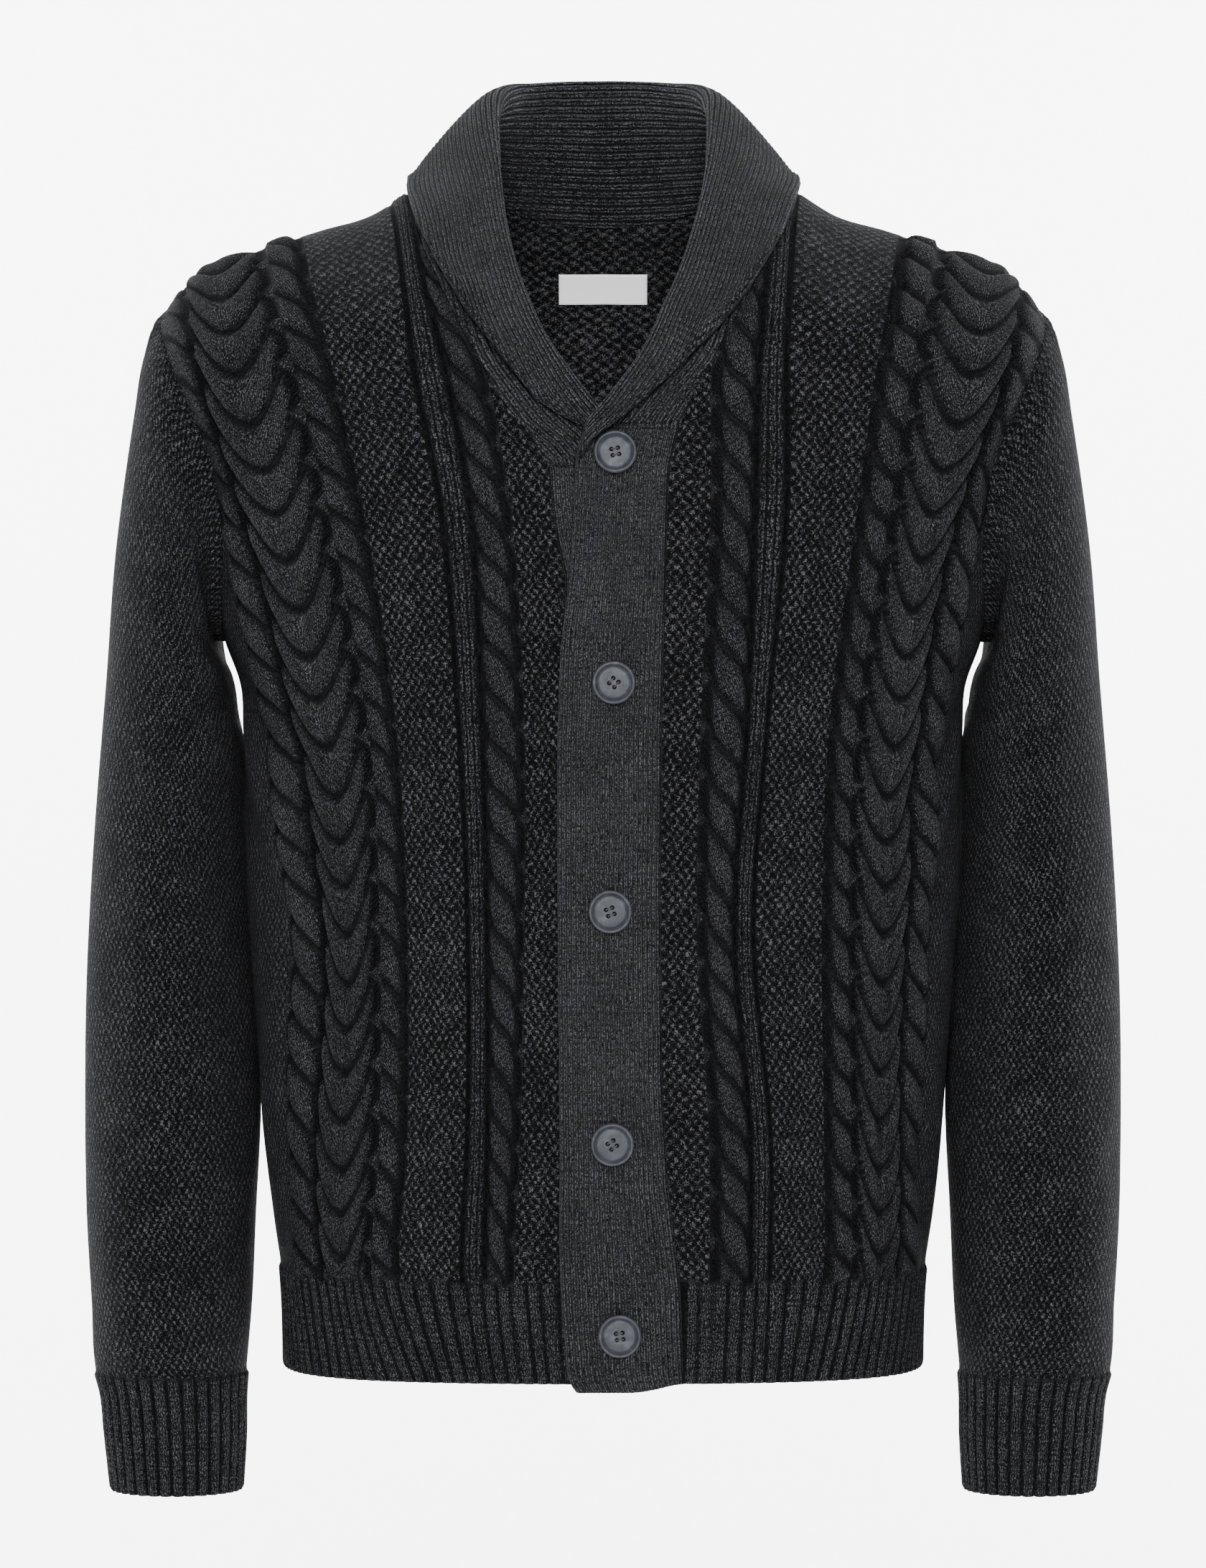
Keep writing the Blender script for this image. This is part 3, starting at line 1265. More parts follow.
@dataclass
class Front(Panel):
    """One front with its two ropes, horseshoe, third rope, wales, moss grounds and hem rib."""

    name: str
    side: float
    columns: Array
    edge: Array
    collar: Array
    uneven: float
    step_across: float = 0.00145
    step_up: float = 0.00165
    step_wales: float = 0.0006
    inner_step_across: float = 0.0075
    inner_step_up: float = 0.0080
    behind = False

    def __post_init__(self) -> None:
        """Make the chart and the outline."""
        self.cloth = FrontCloth(self.side, self.columns)
        self.sides = (self.side,)
        self.turned = self.side < 0
        self.shape = self.outline()
        band = self.cloth.cloth_from_centre(self.edge[1, 1] + BAND_SEAM / 2, HEM)
        self.rib_run = self.rib_count(np.linspace(band, COLUMN_CLOTH[-1], 400))

    def outline(self) -> PanelShape:
        """Limits of the front: band and neck seams, side and armhole, shoulder."""
        flank = COLUMN_CLOTH[-1] - SEAM / 2
        levels = np.linspace(HEM, self.collar[0, 0], 90)
        seam = np.interp(levels, *self.edge.T) + BAND_SEAM / 2
        inner = [(level, self.cloth.cloth_from_centre(x, level)) for level, x in zip(levels, seam)]
        stations = np.linspace(0, len(self.collar) - 1, 49)[1:]
        neck = spline(stations, np.arange(len(self.collar)), self.collar[:, 0:2])
        neck = [*neck, (None, NECK_SIDE)]
        for level, across in neck:
            if level is None:
                height = shoulder_height(across, False) - SEAM / 2
            else:
                height = cloth_height_of(float(across), float(level))
            inner.append((height, self.cloth.cloth_from_centre(float(across) + SEAM / 2, height)))
        inner = np.array(sorted(inner))
        return PanelShape(*inner.T, *self.side_limits(flank), *np.array(self.shoulder_limits()).T)

    def knit(self, chart: Array) -> Relief:
        """Relief of the front at chart places."""
        place, height = chart[..., 0], chart[..., 1]
        relief = self.ground(chart)
        gap = CABLE_GAP
        falls = self.side
        a_in, a_out, wales_out, b_in, b_out, shoe_out, c_out = COLUMN_CLOTH[1:-1]
        cables = (
            Cable(CableKind.ROPE, a_in, a_out - gap, falls),
            Cable(CableKind.ROPE, b_in, b_out - gap, falls),
            Cable(CableKind.HORSESHOE, b_out + gap, shoe_out - gap, falls),
            Cable(CableKind.ROPE, shoe_out + gap, c_out, falls),
        )
        for cable in cables:
            cable.lay_on(relief, place, height)
        wale_relief(relief, place, height, a_out + gap, wales_out - gap)
        phase = np.interp(place, *self.rib_run.T)
        wander = 0.0015 * np.sin(phase * 2.3 + self.uneven)
        rib_relief(relief, phase, height, smooth_step((HEM_RIB_TOP + wander + 0.002 - height) / 0.004))
        self.ease_at_seams(relief, chart)
        relief.fade(smooth_step((self.shape.top_gap(chart) + 0.006) / 0.034))
        return relief

    def creases(self, flat: Array) -> Array:
        """The creases, which die away at the side seam."""
        return crease_lift(*flat.T, self.uneven) * smooth_step((COLUMN_CLOTH[-1] - flat[:, 0]) / 0.050)

    def build(self, finish: Material) -> Thing:
        """Make the front."""
        shape = self.shape
        high = float(COLUMN_CLOTH[-1]) - SEAM / 2
        peak = float(shape.top_heights[0])
        skins = []
        for across, up, sunk, knitted in (
                (self.step_across, self.step_up, 0.0, True),
                (self.inner_step_across, self.inner_step_up, WALL, False)):
            columns = np.arange(float(shape.inner_places.min()), high, across)
            if knitted:
                wales = np.arange(COLUMN_CLOTH[2], COLUMN_CLOTH[3] + 0.003, self.step_wales)
                columns = np.append(columns, wales)
            columns = np.unique([*columns, shape.top_places[0], shape.top_places[-1], high])
            rows = np.unique([*np.arange(HEM, peak, up), UNDERARM, shape.top_heights[-1], peak])
            grid = shape.grid(columns, rows)
            skins.append(self.skin(grid, self.knit(grid), sunk, knitted))
        return wall(self.name, *skins, [np.array([high, HEM])], finish)


def back_neck_place(share: float) -> tuple[float, float]:
    """Height up the cloth and angle from the centre back, at a share of the neck's half width."""
    height = shoulder_height(NECK_SIDE, True) - BACK_NECK_DROP * (1 - abs(share) ** 2.2)
    return height, angle_across(NECK_SIDE * abs(share), height)


@dataclass
class Back(Panel):
    """The back: moss stitch over a ribbed hem."""

    name: str = "back_panel_knit"
    uneven: float = 2.1
    step_across: float = 0.0021
    step_up: float = 0.0030
    step_hem: float = 0.0018
    inner_step_across: float = 0.0100
    inner_step_up: float = 0.0090
    behind = True
    sides = (-1.0, 1.0)
    turned = True

    def __post_init__(self) -> None:
        """Make the chart and the outline."""
        self.cloth = BackCloth()
        self.flank = math.pi / 2 * BackCloth.SCALE - SEAM / 2
        self.shape = self.outline()
        self.rib_run = self.rib_count(np.linspace(-self.flank, self.flank, 800))

    def outline(self) -> PanelShape:
        """Limits of the back: sides and armholes, neck and shoulders."""
        top = []
        for share in np.linspace(0.0, 1.0, 41):
            height, angle = back_neck_place(float(share))
            top.append((angle * BackCloth.SCALE, height - SEAM / 2))
        top += self.shoulder_limits()[1:]
        none = np.array([HEM, 1.0])
        return PanelShape(none, none * 0.0, *self.side_limits(self.flank), *np.array(top).T, True)

    def creases(self, flat: Array) -> Array:
        """The creases of both halves, which die away at the side seams and the centre."""
        place = np.abs(flat[:, 0])
        right = crease_lift(place * 1.09, flat[:, 1], self.uneven)
        left = crease_lift(place * 1.09, flat[:, 1], self.uneven + 1.4)
        lift = np.where(flat[:, 0] > 0, right, left)
        return lift * smooth_step((self.flank - place) / 0.050) * smooth_step((place - 0.004) / 0.020)

    def knit(self, chart: Array) -> Relief:
        """Relief of the back at chart places."""
        relief = self.ground(chart)
        share = smooth_step((HEM_RIB_TOP + 0.002 - chart[..., 1]) / 0.004)
        rib_relief(relief, np.interp(chart[..., 0], *self.rib_run.T), chart[..., 1], share)
        self.ease_at_seams(relief, chart)
        return relief

    def build(self, finish: Material) -> Thing:
        """Make the back."""
        shape = self.shape
        peak = float(shape.top_heights.max())
        marks = np.array([back_neck_place(1.0)[1] * BackCloth.SCALE, shape.top_places[-1], self.flank])
        skins = []
        for across, up, sunk, knitted in (
                (self.step_across, self.step_up, 0.0, True),
                (self.inner_step_across, self.inner_step_up, WALL, False)):
            columns = np.unique(np.round([*np.arange(-self.flank, self.flank, across), *marks, *-marks], 7))
            columns = np.clip(columns, -self.flank, self.flank)
            rows = np.arange(HEM, peak, up)
            if knitted:
                hem = np.arange(HEM, HEM_RIB_TOP + 0.006, self.step_hem)
                rows = np.append(rows[rows > HEM_RIB_TOP + 0.008], hem)
            rows = np.unique([*rows, HEM, UNDERARM, shape.top_heights[-1], peak])
            grid = shape.grid(columns, rows)
            relief = self.knit(grid) if knitted else self.ground(grid)
            skins.append(self.skin(grid, relief, sunk, knitted))
        return wall(self.name, *skins, [np.array([self.flank, HEM])], finish)


# ------------------------------------------------------------------ the sleeves
SLEEVE_CREASES = np.array([
    # turn   run    turn   run    width   depth: turn 0 is the underarm, 90 the front, 180 the top
    [20.0, 0.030, 95.0, 0.085, 0.013, -0.0030],
    [15.0, 0.055, 80.0, 0.130, 0.014, 0.0026],
    [25.0, 0.095, 100.0, 0.175, 0.013, -0.0026],
    [345.0, 0.040, 275.0, 0.100, 0.014, -0.0030],
    [340.0, 0.080, 268.0, 0.150, 0.014, 0.0026],
    [30.0, 0.250, 110.0, 0.235, 0.014, -0.0022],
    [40.0, 0.285, 120.0, 0.300, 0.013, -0.0024],
    [50.0, 0.268, 115.0, 0.268, 0.012, 0.0020],
    [330.0, 0.260, 250.0, 0.290, 0.015, -0.0024],
    [100.0, 0.470, 150.0, 0.430, 0.014, -0.0022],
    [60.0, 0.505, 90.0, 0.440, 0.013, -0.0024],
    [200.0, 0.500, 215.0, 0.420, 0.014, -0.0022],
    [290.0, 0.500, 270.0, 0.430, 0.014, -0.0024],
    [125.0, 0.500, 130.0, 0.400, 0.016, 0.0022],
])


@dataclass
class Sleeve:
    """A moss-stitch tube from the armhole to its ribbed cuff."""

    name: str
    side: float
    uneven: float
    around: int = 224
    rows_above: int = 175
    rows_cuff: int = 32
    inner_around: int = 56
    inner_rows: int = 61

    def keys(self, turns: Array) -> Array:
        """Ring after ring of the sleeve's outside, starting at the armhole seam."""
        mirror = np.array([self.side, 1.0, 1.0])
        axis = unit(ARMHOLE_AXIS) * mirror
        seam = np.array([armhole_point(float(turn), self.side) + axis * SEAM / 2 for turn in turns])
        rings = [seam]
        under, front, over = (armhole_point(turn, self.side) * mirror for turn in (0.0, 90.0, 180.0))
        oval = self.oval(turns, over, under, -front[1])
        squareness = seam * mirror - axis * mirror * SEAM / 2 - oval
        for number, (out_x, out_z, in_x, in_z, half, centre) in enumerate(SLEEVE_RINGS):
            ring = self.oval(turns, np.array([out_x, centre, out_z]), np.array([in_x, centre, in_z]), half)
            if number < len(SEAM_SHAPE_LEFT):
                ring = ring + squareness * SEAM_SHAPE_LEFT[number]
            rings.append(ring * mirror)
        return np.array(rings)

    @staticmethod
    def oval(turns: Array, outer: Array, inner: Array, half: float) -> Array:
        """Points round an oval from its outer and inner ends and its half depth."""
        swing = np.radians(turns)
        middle = (outer + inner) / 2
        reach = (outer - inner) / 2
        return middle - np.cos(swing)[:, None] * reach - np.sin(swing)[:, None] * np.array([0.0, half, 0.0])

    def run_of_rings(self) -> Array:
        """Distance down the sleeve of each ring, with the solid's own spacing."""
        middles = self.keys(np.arange(SLEEVE_RIBS) * 360.0 / SLEEVE_RIBS).mean(axis=1)
        return run_along(middles) + 0.002 * np.arange(len(middles))

    def surface(self, keys: Array, run: Array, at: Array) -> Array:
        """Points on the sleeve's outside at distances down it."""
        flat = spline(at, run, keys.reshape(len(keys), -1))
        return flat.reshape(len(at), -1, 3)

    def skin(self, turns: Array, at: Array, sunk: float, knitted: bool) -> Skin:
        """One side of the sleeve.

        Args:
            turns: turns round the sleeve from the underarm, with the first again at the end.
            at: distances down the sleeve.
            sunk: how far the side lies under the surface.
            knitted: whether it carries the relief.

        Returns:
            The skin.
        """
        run = self.run_of_rings()
        keys = self.keys(turns % 360.0)
        points = self.surface(keys, run, at)
        step = NORMAL_STEP
        along = self.surface(keys, run, at + step) - self.surface(keys, run, at - step)
        after = self.surface(self.keys((turns + 1.0) % 360.0), run, at)
        before = self.surface(self.keys((turns - 1.0) % 360.0), run, at)
        ways = unit(np.cross(along, after - before)) * self.side
        facing = np.array([armhole_facing(armhole_point(float(turn % 360.0), self.side), self.side)
                           for turn in turns])
        share = smooth_step(1.0 - at / SEAM_EASE)[:, None, None]
        ways = unit(ways * (1 - share) + facing[None] * share)
        turn_grid, run_grid = np.meshgrid(turns, at)
        girth = np.linalg.norm(np.diff(points, axis=1), axis=2).sum(axis=1)[:, None]
        across = (turn_grid / 360.0 - 0.5) * girth
        relief = Relief.moss_ground(np.stack([across / STITCH_WIDE, -run_grid / STITCH_TALL], axis=-1))
        lift = self.crease_lift(turn_grid, run_grid, girth, run[-1])
        if knitted:
            cuff = run[CUFF_TOP_ROW]
            share = smooth_step((run_grid - cuff + 0.001) / 0.004)
            rib_relief(relief, turn_grid / 360.0 * SLEEVE_RIBS, -run_grid, share)
            pucker = 0.0010 * np.sin(turn_grid * math.pi / 180 * 26 + 2 * np.sin(turn_grid * 0.11))
            lift = lift + relief.lift + pucker * bell(run_grid - 0.007, 0.006)
            lift = lift - 0.0007 * bell(run_grid, 0.0015)
            lift = lift - EDGE_ROLL * bell(run_grid - run[-1], EDGE_SOFT)
        points = points + ways * (lift - sunk)[..., None]
        chart = np.stack([turn_grid / 1000.0, run_grid], axis=-1)
        ids = np.arange(turn_grid.size).reshape(turn_grid.shape)
        first, last = (0, -1) if self.side < 0 else (-1, 0)
        ids[:, last] = ids[:, first]
        return Skin(points.reshape(-1, 3), ids, chart, relief, self.side > 0)

    def crease_lift(self, turn: Array, run: Array, girth: Array, length: float) -> Array:
        """Soft creases of the sleeve."""
        out = np.zeros_like(turn)
        for number, (a_turn, a_run, b_turn, b_run, width, depth) in enumerate(SLEEVE_CREASES):
            shift = 0.012 * math.sin(self.uneven * 2.7 + number * 1.9)
            grow = 1.0 + 0.45 * math.sin(self.uneven * 4.1 + number * 2.3)
            beside, way = (((end - a_turn + 180.0) % 360.0 - 180.0) * girth / 360.0 for end in (turn, b_turn))
            out += depth * grow * one_crease(beside, run - a_run - shift, way, b_run - a_run, width)
        inward = np.minimum(turn, 360.0 - turn)
        out *= smooth_step((inward - 12.0) / 30.0)
        under = smooth_step((run - 0.003) / 0.018) * smooth_step((0.098 - run) / 0.050)
        out += UNDERARM_FULLNESS * bell(inward, 42.0) * under
        return out * smooth_step((run - 0.003) / 0.015) * smooth_step((length - run) / 0.070)

    def build(self, finish: Material) -> Thing:
        """Make the sleeve."""
        run = self.run_of_rings()
        cuff = run[CUFF_TOP_ROW]
        fine = np.concatenate([np.linspace(0.0, cuff, self.rows_above, endpoint=False),
                               np.linspace(cuff, run[-1], self.rows_cuff)])
        coarse = np.linspace(0.0, run[-1], self.inner_rows)
        outer = self.skin(np.linspace(0.0, 360.0, self.around + 1), fine, 0.0, True)
        inner = self.skin(np.linspace(0.0, 360.0, self.inner_around + 1), coarse, WALL, False)
        corner = outer.chart[0, 0 if self.side < 0 else -1, 0]
        starts = [np.array([corner, 0.0]), np.array([corner, run[-1]])]
        return wall(self.name, outer, inner, starts, finish)


# ------------------------------------------------------------------ bands and collar
def grid_skin(points: Array, relief: Relief, spacing: tuple[float, float], turned: bool = False) -> Skin:
    """A skin from a plain grid of points, with a chart that fits any step."""
    rows, columns = points.shape[:2]
    place, height = np.meshgrid(np.linspace(0.0, spacing[0], columns), np.linspace(0.0, spacing[1], rows))
    ids = np.arange(rows * columns).reshape(rows, columns)
    return Skin(points.reshape(-1, 3), ids, np.stack([place, height], axis=-1), relief, turned)


def upper_band_under(across: Array, seam: Array | float) -> Array:
    """Lift of the buttonhole band's underside over the body: it sinks to the front at its seam."""
    drop = smooth_step((across - (seam - BAND_STEP)) / BAND_STEP)
    return UPPER_BAND_LIFT * (1 - drop) - WALL * drop


def lower_band_top(across: Array) -> Array:
    """Lift of the button band's outside over the body: it sinks to pass under the other band."""
    start = LOWER_BAND_FREE - 1.3 * BAND_STEP
    return -LOWER_BAND_SINK * smooth_step((across - start) / (0.85 * BAND_STEP))


def surface_normals(points: Array) -> Array:
    """Directions off a grid of points: rows are run along, columns across."""
    return unit(np.cross(np.gradient(points, axis=1), np.gradient(points, axis=0)))


@dataclass
class Band:
    """A ribbed front band. The upper one has buttonholes and a rolled free edge."""

    name: str
    upper: bool
    across: int = 132
    along: int = 160
    wales: int = 22
    inner_across: int = 12
    inner_along: int = 40
    chart_size: tuple[float, float] = (0.06, 0.54)

    def limits(self, level: Array) -> tuple[Array, Array]:
        """Left and right edges of the band at each level."""
        if self.upper:
            return -read(level, UPPER_BAND_FREE), np.interp(level, *LEFT_EDGE.T) - BAND_SEAM / 2
        return BAND_SEAM / 2 - np.interp(level, *RIGHT_EDGE.T), np.full_like(level, LOWER_BAND_FREE)

    def grid(self, columns: int, rows: int, sunk: float) -> tuple[Array, Array, Array]:
        """Points of one side, with their distance across and level."""
        top = (BUTTONHOLE_BAND_TOP if self.upper else BUTTON_BAND_TOP) - SEAM / 2
        bottom = BAND_BOTTOM + (0.0 if self.upper else 0.002)
        level = np.linspace(bottom, top, rows)[:, None]
        left, right = (edge[:, None] for edge in self.limits(level[:, 0]))
        across = left + (right - left) * np.linspace(0.0, 1.0, columns)[None, :]
        level = np.broadcast_to(level, across.shape).copy()
        if self.upper:
            share = smooth_step((across - left - 0.030) / (right - left - 0.030))
            level += (HEM - BAND_BOTTOM) * share * bell(level - BAND_BOTTOM, 0.010)
        lift = upper_band_under(across, right) + WALL if self.upper else lower_band_top(across)
        return front_point(across, level, lift - sunk), across, level

    def knit(self, points: Array, across: Array, level: Array) -> Relief:
        """Fine ribs down the band, its rolled edge and its buttonholes."""
        left, right = self.limits(level[:, 0])
        share = (across - left[:, None]) / (right - left)[:, None]
        waver = 0.05 * np.sin(level * 41.0) + 0.04 * np.sin(level * 97.0 + 1.0)
        phase = share * self.wales + waver
        crest = np.abs(np.sin(math.pi * phase)) ** 0.7
        lift = -0.0007 + 0.0014 * crest
        hollow = 1.1 * smooth_step((0.74 - crest) / 0.5)
        wide = (right - left)[:, None]
        from_left = share * wide
        from_right = (1 - share) * wide
        if self.upper:
            lift = lift + 0.0011 * bell(from_left - 0.0032, 0.0024) - 0.0016 * bell(from_left, 0.0012)
            for x, z in BUTTONS[:, 0:2]:
                slit = bell(across - x, 0.0010) * smooth_step((z + 0.0140 - level) / 0.003)
                slit = slit * smooth_step((level - z) / 0.004)
                lips = bell(np.abs(across - x) - 0.0026, 0.0014) * bell(level - z - 0.012, 0.007)
                lift = lift - 0.0020 * slit + 0.0009 * lips
                hollow = np.maximum(hollow, 1.0 * slit)
        else:
            lift = lift - 0.0008 * bell(from_right, 0.0012)
        seam_gap = from_right if self.upper else from_left
        lift = lift * smooth_step(seam_gap / 0.003) - 0.0004 * bell(seam_gap, 0.0012)
        hem = level - level.min()
        lift = lift - 0.0012 * bell(hem, 0.0012) + 0.0006 * bell(hem - 0.003, 0.002)
        hollow = np.maximum(hollow, 0.8 * bell(seam_gap, 0.0011))
        stitch = np.stack([phase, level / STITCH_TALL], axis=-1)
        return Relief(lift, stitch, np.zeros_like(lift), hollow)

    def build(self, finish: Material) -> Thing:
        """Make the band."""
        points, across, level = self.grid(self.across + 1, self.along + 1, 0.0)
        relief = self.knit(points, across, level)
        points = points + front_way(across) * relief.lift[..., None]
        outer = grid_skin(points, relief, self.chart_size)
        points, across, level = self.grid(self.inner_across + 1, self.inner_along + 1, WALL)
        stitch = np.stack([across / STITCH_WIDE, level / STITCH_TALL], axis=-1)
        inner = grid_skin(points, Relief.moss_ground(stitch), self.chart_size)
        return wall(self.name, outer, inner, [np.array([0.0, 0.0])], finish)


@dataclass
class ShawlCollar:
    """The collar: a ribbed strip that stands from the neck seam, folds over and falls outside."""

    name: str = "shawl_collar_knit"
    along: int = 185
    across: int = 350
    hidden_along: int = 105
    hidden_across: int = 270
    stand_pitch: float = 0.0046
    fall_pitch: float = 0.0031
    chart_size: tuple[float, float] = (0.16, 0.8)

    @staticmethod
    def seam_frames() -> tuple[Array, Array]:
        """Outside points and directions of the neck seam, station after station."""
        frames = []
        for side, table in ((-1.0, RIGHT_COLLAR), (1.0, LEFT_COLLAR[::-1])):
            run = []
            for level, across in table[:, 0:2]:
                height = cloth_height_of(across, level)
                angle = angle_across(across - SEAM / 2, height)
                run.append((torso_point(side, angle, height), torso_facing(side, angle, height)))
            frames.append(run)
        back = []
        for share in [*-BACK_COLLAR[:, 0], *BACK_COLLAR[-2::-1, 0]]:
            height, angle = back_neck_place(float(share))
            side = -1.0 if share < 0 else 1.0
            turned = math.pi - angle
            back.append((torso_point(side, turned, height + SEAM / 2), torso_facing(side, turned, height)))
        everything = frames[0] + back + frames[1]
        return np.array([pair[0] for pair in everything]), np.array([pair[1] for pair in everything])

    @staticmethod
    def bezier(a: Array, b: Array, c: Array, d: Array, shares: Array) -> Array:
        """Points along a cubic curve, for rows of control points."""
        s = shares[None, :, None]
        a, b, c, d = (point[:, None, :] for point in (a, b, c, d))
        return (1 - s) ** 3 * a + 3 * (1 - s) ** 2 * s * b + 3 * (1 - s) * s * s * c + s ** 3 * d

    def sections(self, seam: Array, facing: Array) -> Array:
        """Middle surface of the collar, a row of points for each station."""
        mirrored = BACK_COLLAR[:, 1:].copy()
        mirrored[:, (0, 3)] *= -1
        guide = np.vstack([RIGHT_COLLAR[:, 2:], mirrored, BACK_COLLAR[-2::-1, 1:], LEFT_COLLAR[::-1, 2:]])
        fold, edge, roll = guide[:, 0:3], guide[:, 3:6], guide[:, 6:7]
        start = seam - facing * WALL / 2
        rise = fold - start
        across = unit(np.cross(rise, np.gradient(start + fold, axis=0)))
        tangent = across * roll * 1.25
        stand = self.bezier(start, start + rise * 0.35, fold - tangent, fold, STAND_SHARES)
        bulge = edge + (fold - edge) * 0.40 + across * roll * 0.70
        fall = self.bezier(fold, fold + tangent, bulge, edge, FALL_SHARES)
        return np.concatenate([stand, fall[:, 1:]], axis=1)

    @staticmethod
    def rest_on_body(grid: Array) -> Array:
        """Lift the turned-over part to its clearance wherever it lies over the body's cloth."""
        angles = np.linspace(0.0, math.pi, 61)
        heights = np.linspace(-0.20, 0.085, 48)
        points = []
        faces = []
        for side in (-1.0, 1.0):
            shift = len(points)
            for height in heights:
                points.extend(torso(side, angles, np.full(len(angles), height)))
            for i in range(len(heights) - 1):
                for j in range(len(angles) - 1):
                    a = shift + i * len(angles) + j
                    face = (a, a + 1, a + len(angles) + 1, a + len(angles))
                    faces.append(face if side > 0 else face[::-1])
        tree = BVHTree.FromPolygons([Vector(point) for point in points], faces)
        for row in grid:
            back = row[0] - row[COLLAR_WIDE - 1]
            for number in range(COLLAR_WIDE, row.shape[0]):
                returned = (row[number] - row[COLLAR_WIDE - 1]) @ back / (back @ back)
                near, way, _, gap = tree.find_nearest(Vector(row[number]))
                inside = (Vector(row[number]) - near).dot(way) < 0
                if returned > OVER_CLOTH and (inside or gap < FALL_CLEARANCE):
                    row[number] = near + way * FALL_CLEARANCE
        return grid

    def form(self) -> tuple[Array, Array]:
        """The solid's two sides: the hidden one and the one that shows, as grids of points."""
        seam, facing = self.seam_frames()
        sections = self.sections(seam, facing)
        count = len(seam)
        steps = np.linspace(0, count - 1, 2 * count - 1)
        grid = spline(steps, np.arange(count), sections.reshape(count, -1)).reshape(len(steps), -1, 3)
        grid[COLLAR_ENDS:-COLLAR_ENDS] = self.rest_on_body(grid[COLLAR_ENDS:-COLLAR_ENDS])
        ways = unit(np.cross(np.gradient(grid, axis=0), np.gradient(grid, axis=1)))
        hidden = grid - ways * WALL / 2
        shown = grid + ways * WALL / 2
        for j in range(3):
            hidden[:, 0, j] = np.interp(steps, np.arange(count), seam[:, j])
            shown[:, 0, j] = np.interp(steps, np.arange(count), (seam - facing * WALL)[:, j])
        self.meet_lower_band(hidden, shown)
        self.meet_upper_band(hidden, shown)
        return hidden, shown

    @staticmethod
    def meet_lower_band(hidden: Array, shown: Array) -> None:
        """Bring the lower end level with the button band's top."""
        seam = RIGHT_COLLAR[0, 1] - SEAM / 2
        across = -seam + (RIGHT_COLLAR[0, 2] + seam) * STAND_SHARES[:END_COLUMNS]
        top = lower_band_top(across)
        level = np.full(END_COLUMNS, BUTTON_BAND_TOP)
        hidden[0, :END_COLUMNS] = front_point(across, level, top)
        shown[0, :END_COLUMNS] = front_point(across, level, top - WALL)
        hidden[0, :, 2] = BUTTON_BAND_TOP + SEAM / 2
        shown[0, :, 2] = BUTTON_BAND_TOP + SEAM / 2

    @staticmethod
    def meet_upper_band(hidden: Array, shown: Array) -> None:
        """Bring the other end level with the buttonhole band's top."""
        seam = LEFT_COLLAR[0, 1] - SEAM / 2
        across = seam + (LEFT_COLLAR[0, 2] - seam) * STAND_SHARES[:-1]
        under = upper_band_under(across, seam)
        level = np.full(len(across), BUTTONHOLE_BAND_TOP)
        hidden[-1, :len(across)] = front_point(across, level, under + WALL)
        shown[-1, :len(across)] = front_point(across, level, under)
        hidden[-1, :COLLAR_WIDE, 2] = BUTTONHOLE_BAND_TOP + SEAM / 2
        shown[-1, :COLLAR_WIDE, 2] = BUTTONHOLE_BAND_TOP + SEAM / 2

    @staticmethod
    def refined(grid: Array, rows: int, columns: int) -> Array:
        """Read a coarse grid of points at finer steps both ways."""
        count, width = grid.shape[:2]
        tall = spline(np.linspace(0, count - 1, rows), np.arange(count), grid.reshape(count, -1))
        wide = np.swapaxes(tall.reshape(rows, width, 3), 0, 1).reshape(width, -1)
        fine = spline(np.linspace(0, width - 1, columns), np.arange(width), wide)
        return np.swapaxes(fine.reshape(columns, rows, 3), 0, 1)

    def knit(self, points: Array) -> Relief:
        """Ribs that run with the fold, wider on the stand and finer on the fall, and the bound edge."""
        steps = np.linalg.norm(np.diff(points, axis=1), axis=2)
        run = np.concatenate([np.zeros((len(points), 1)), np.cumsum(steps, axis=1)], axis=1)
        fold = round((points.shape[1] - 1) * (COLLAR_WIDE - 1) / (COLLAR_WIDE + COLLAR_FALL - 2))
        run = run - run[:, fold:fold + 1]
        turn = 0.010
        fine = smooth_step((run + turn) / (2 * turn))
        pitch = self.stand_pitch * (1 - fine) + self.fall_pitch * fine
        phase = np.cumsum(np.concatenate([np.zeros((len(points), 1)), steps], axis=1) / pitch, axis=1)
        phase = phase - phase[:, fold:fold + 1]
        along = run_along(points[:, fold])[:, None]
        phase = phase + 0.10 * np.sin(along * 37.0) + 0.06 * np.sin(along * 91.0 + run * 40.0)
        crest = np.abs(np.sin(math.pi * phase)) ** 0.75
        tall = 0.0020 * (1 - fine) + 0.0012 * fine
        lift = tall * (crest - 0.45)
        edge_gap = run[:, -1:] - run
        seam_gap = run - run[:, :1]
        bead = 0.0012 * bell(edge_gap - 0.0034, 0.0028) - 0.0013 * bell(edge_gap, 0.0014)
        lift = (lift + bead) * smooth_step(seam_gap / 0.004)
        ends = np.minimum(along, along[-1] - along)
        lift = lift * smooth_step(ends / 0.006)
        hollow = 0.90 * smooth_step((0.72 - crest) / 0.5)
        stitch = np.stack([phase, np.broadcast_to(along, phase.shape) / STITCH_TALL], axis=-1)
        return Relief(lift, stitch, np.zeros_like(lift), hollow)

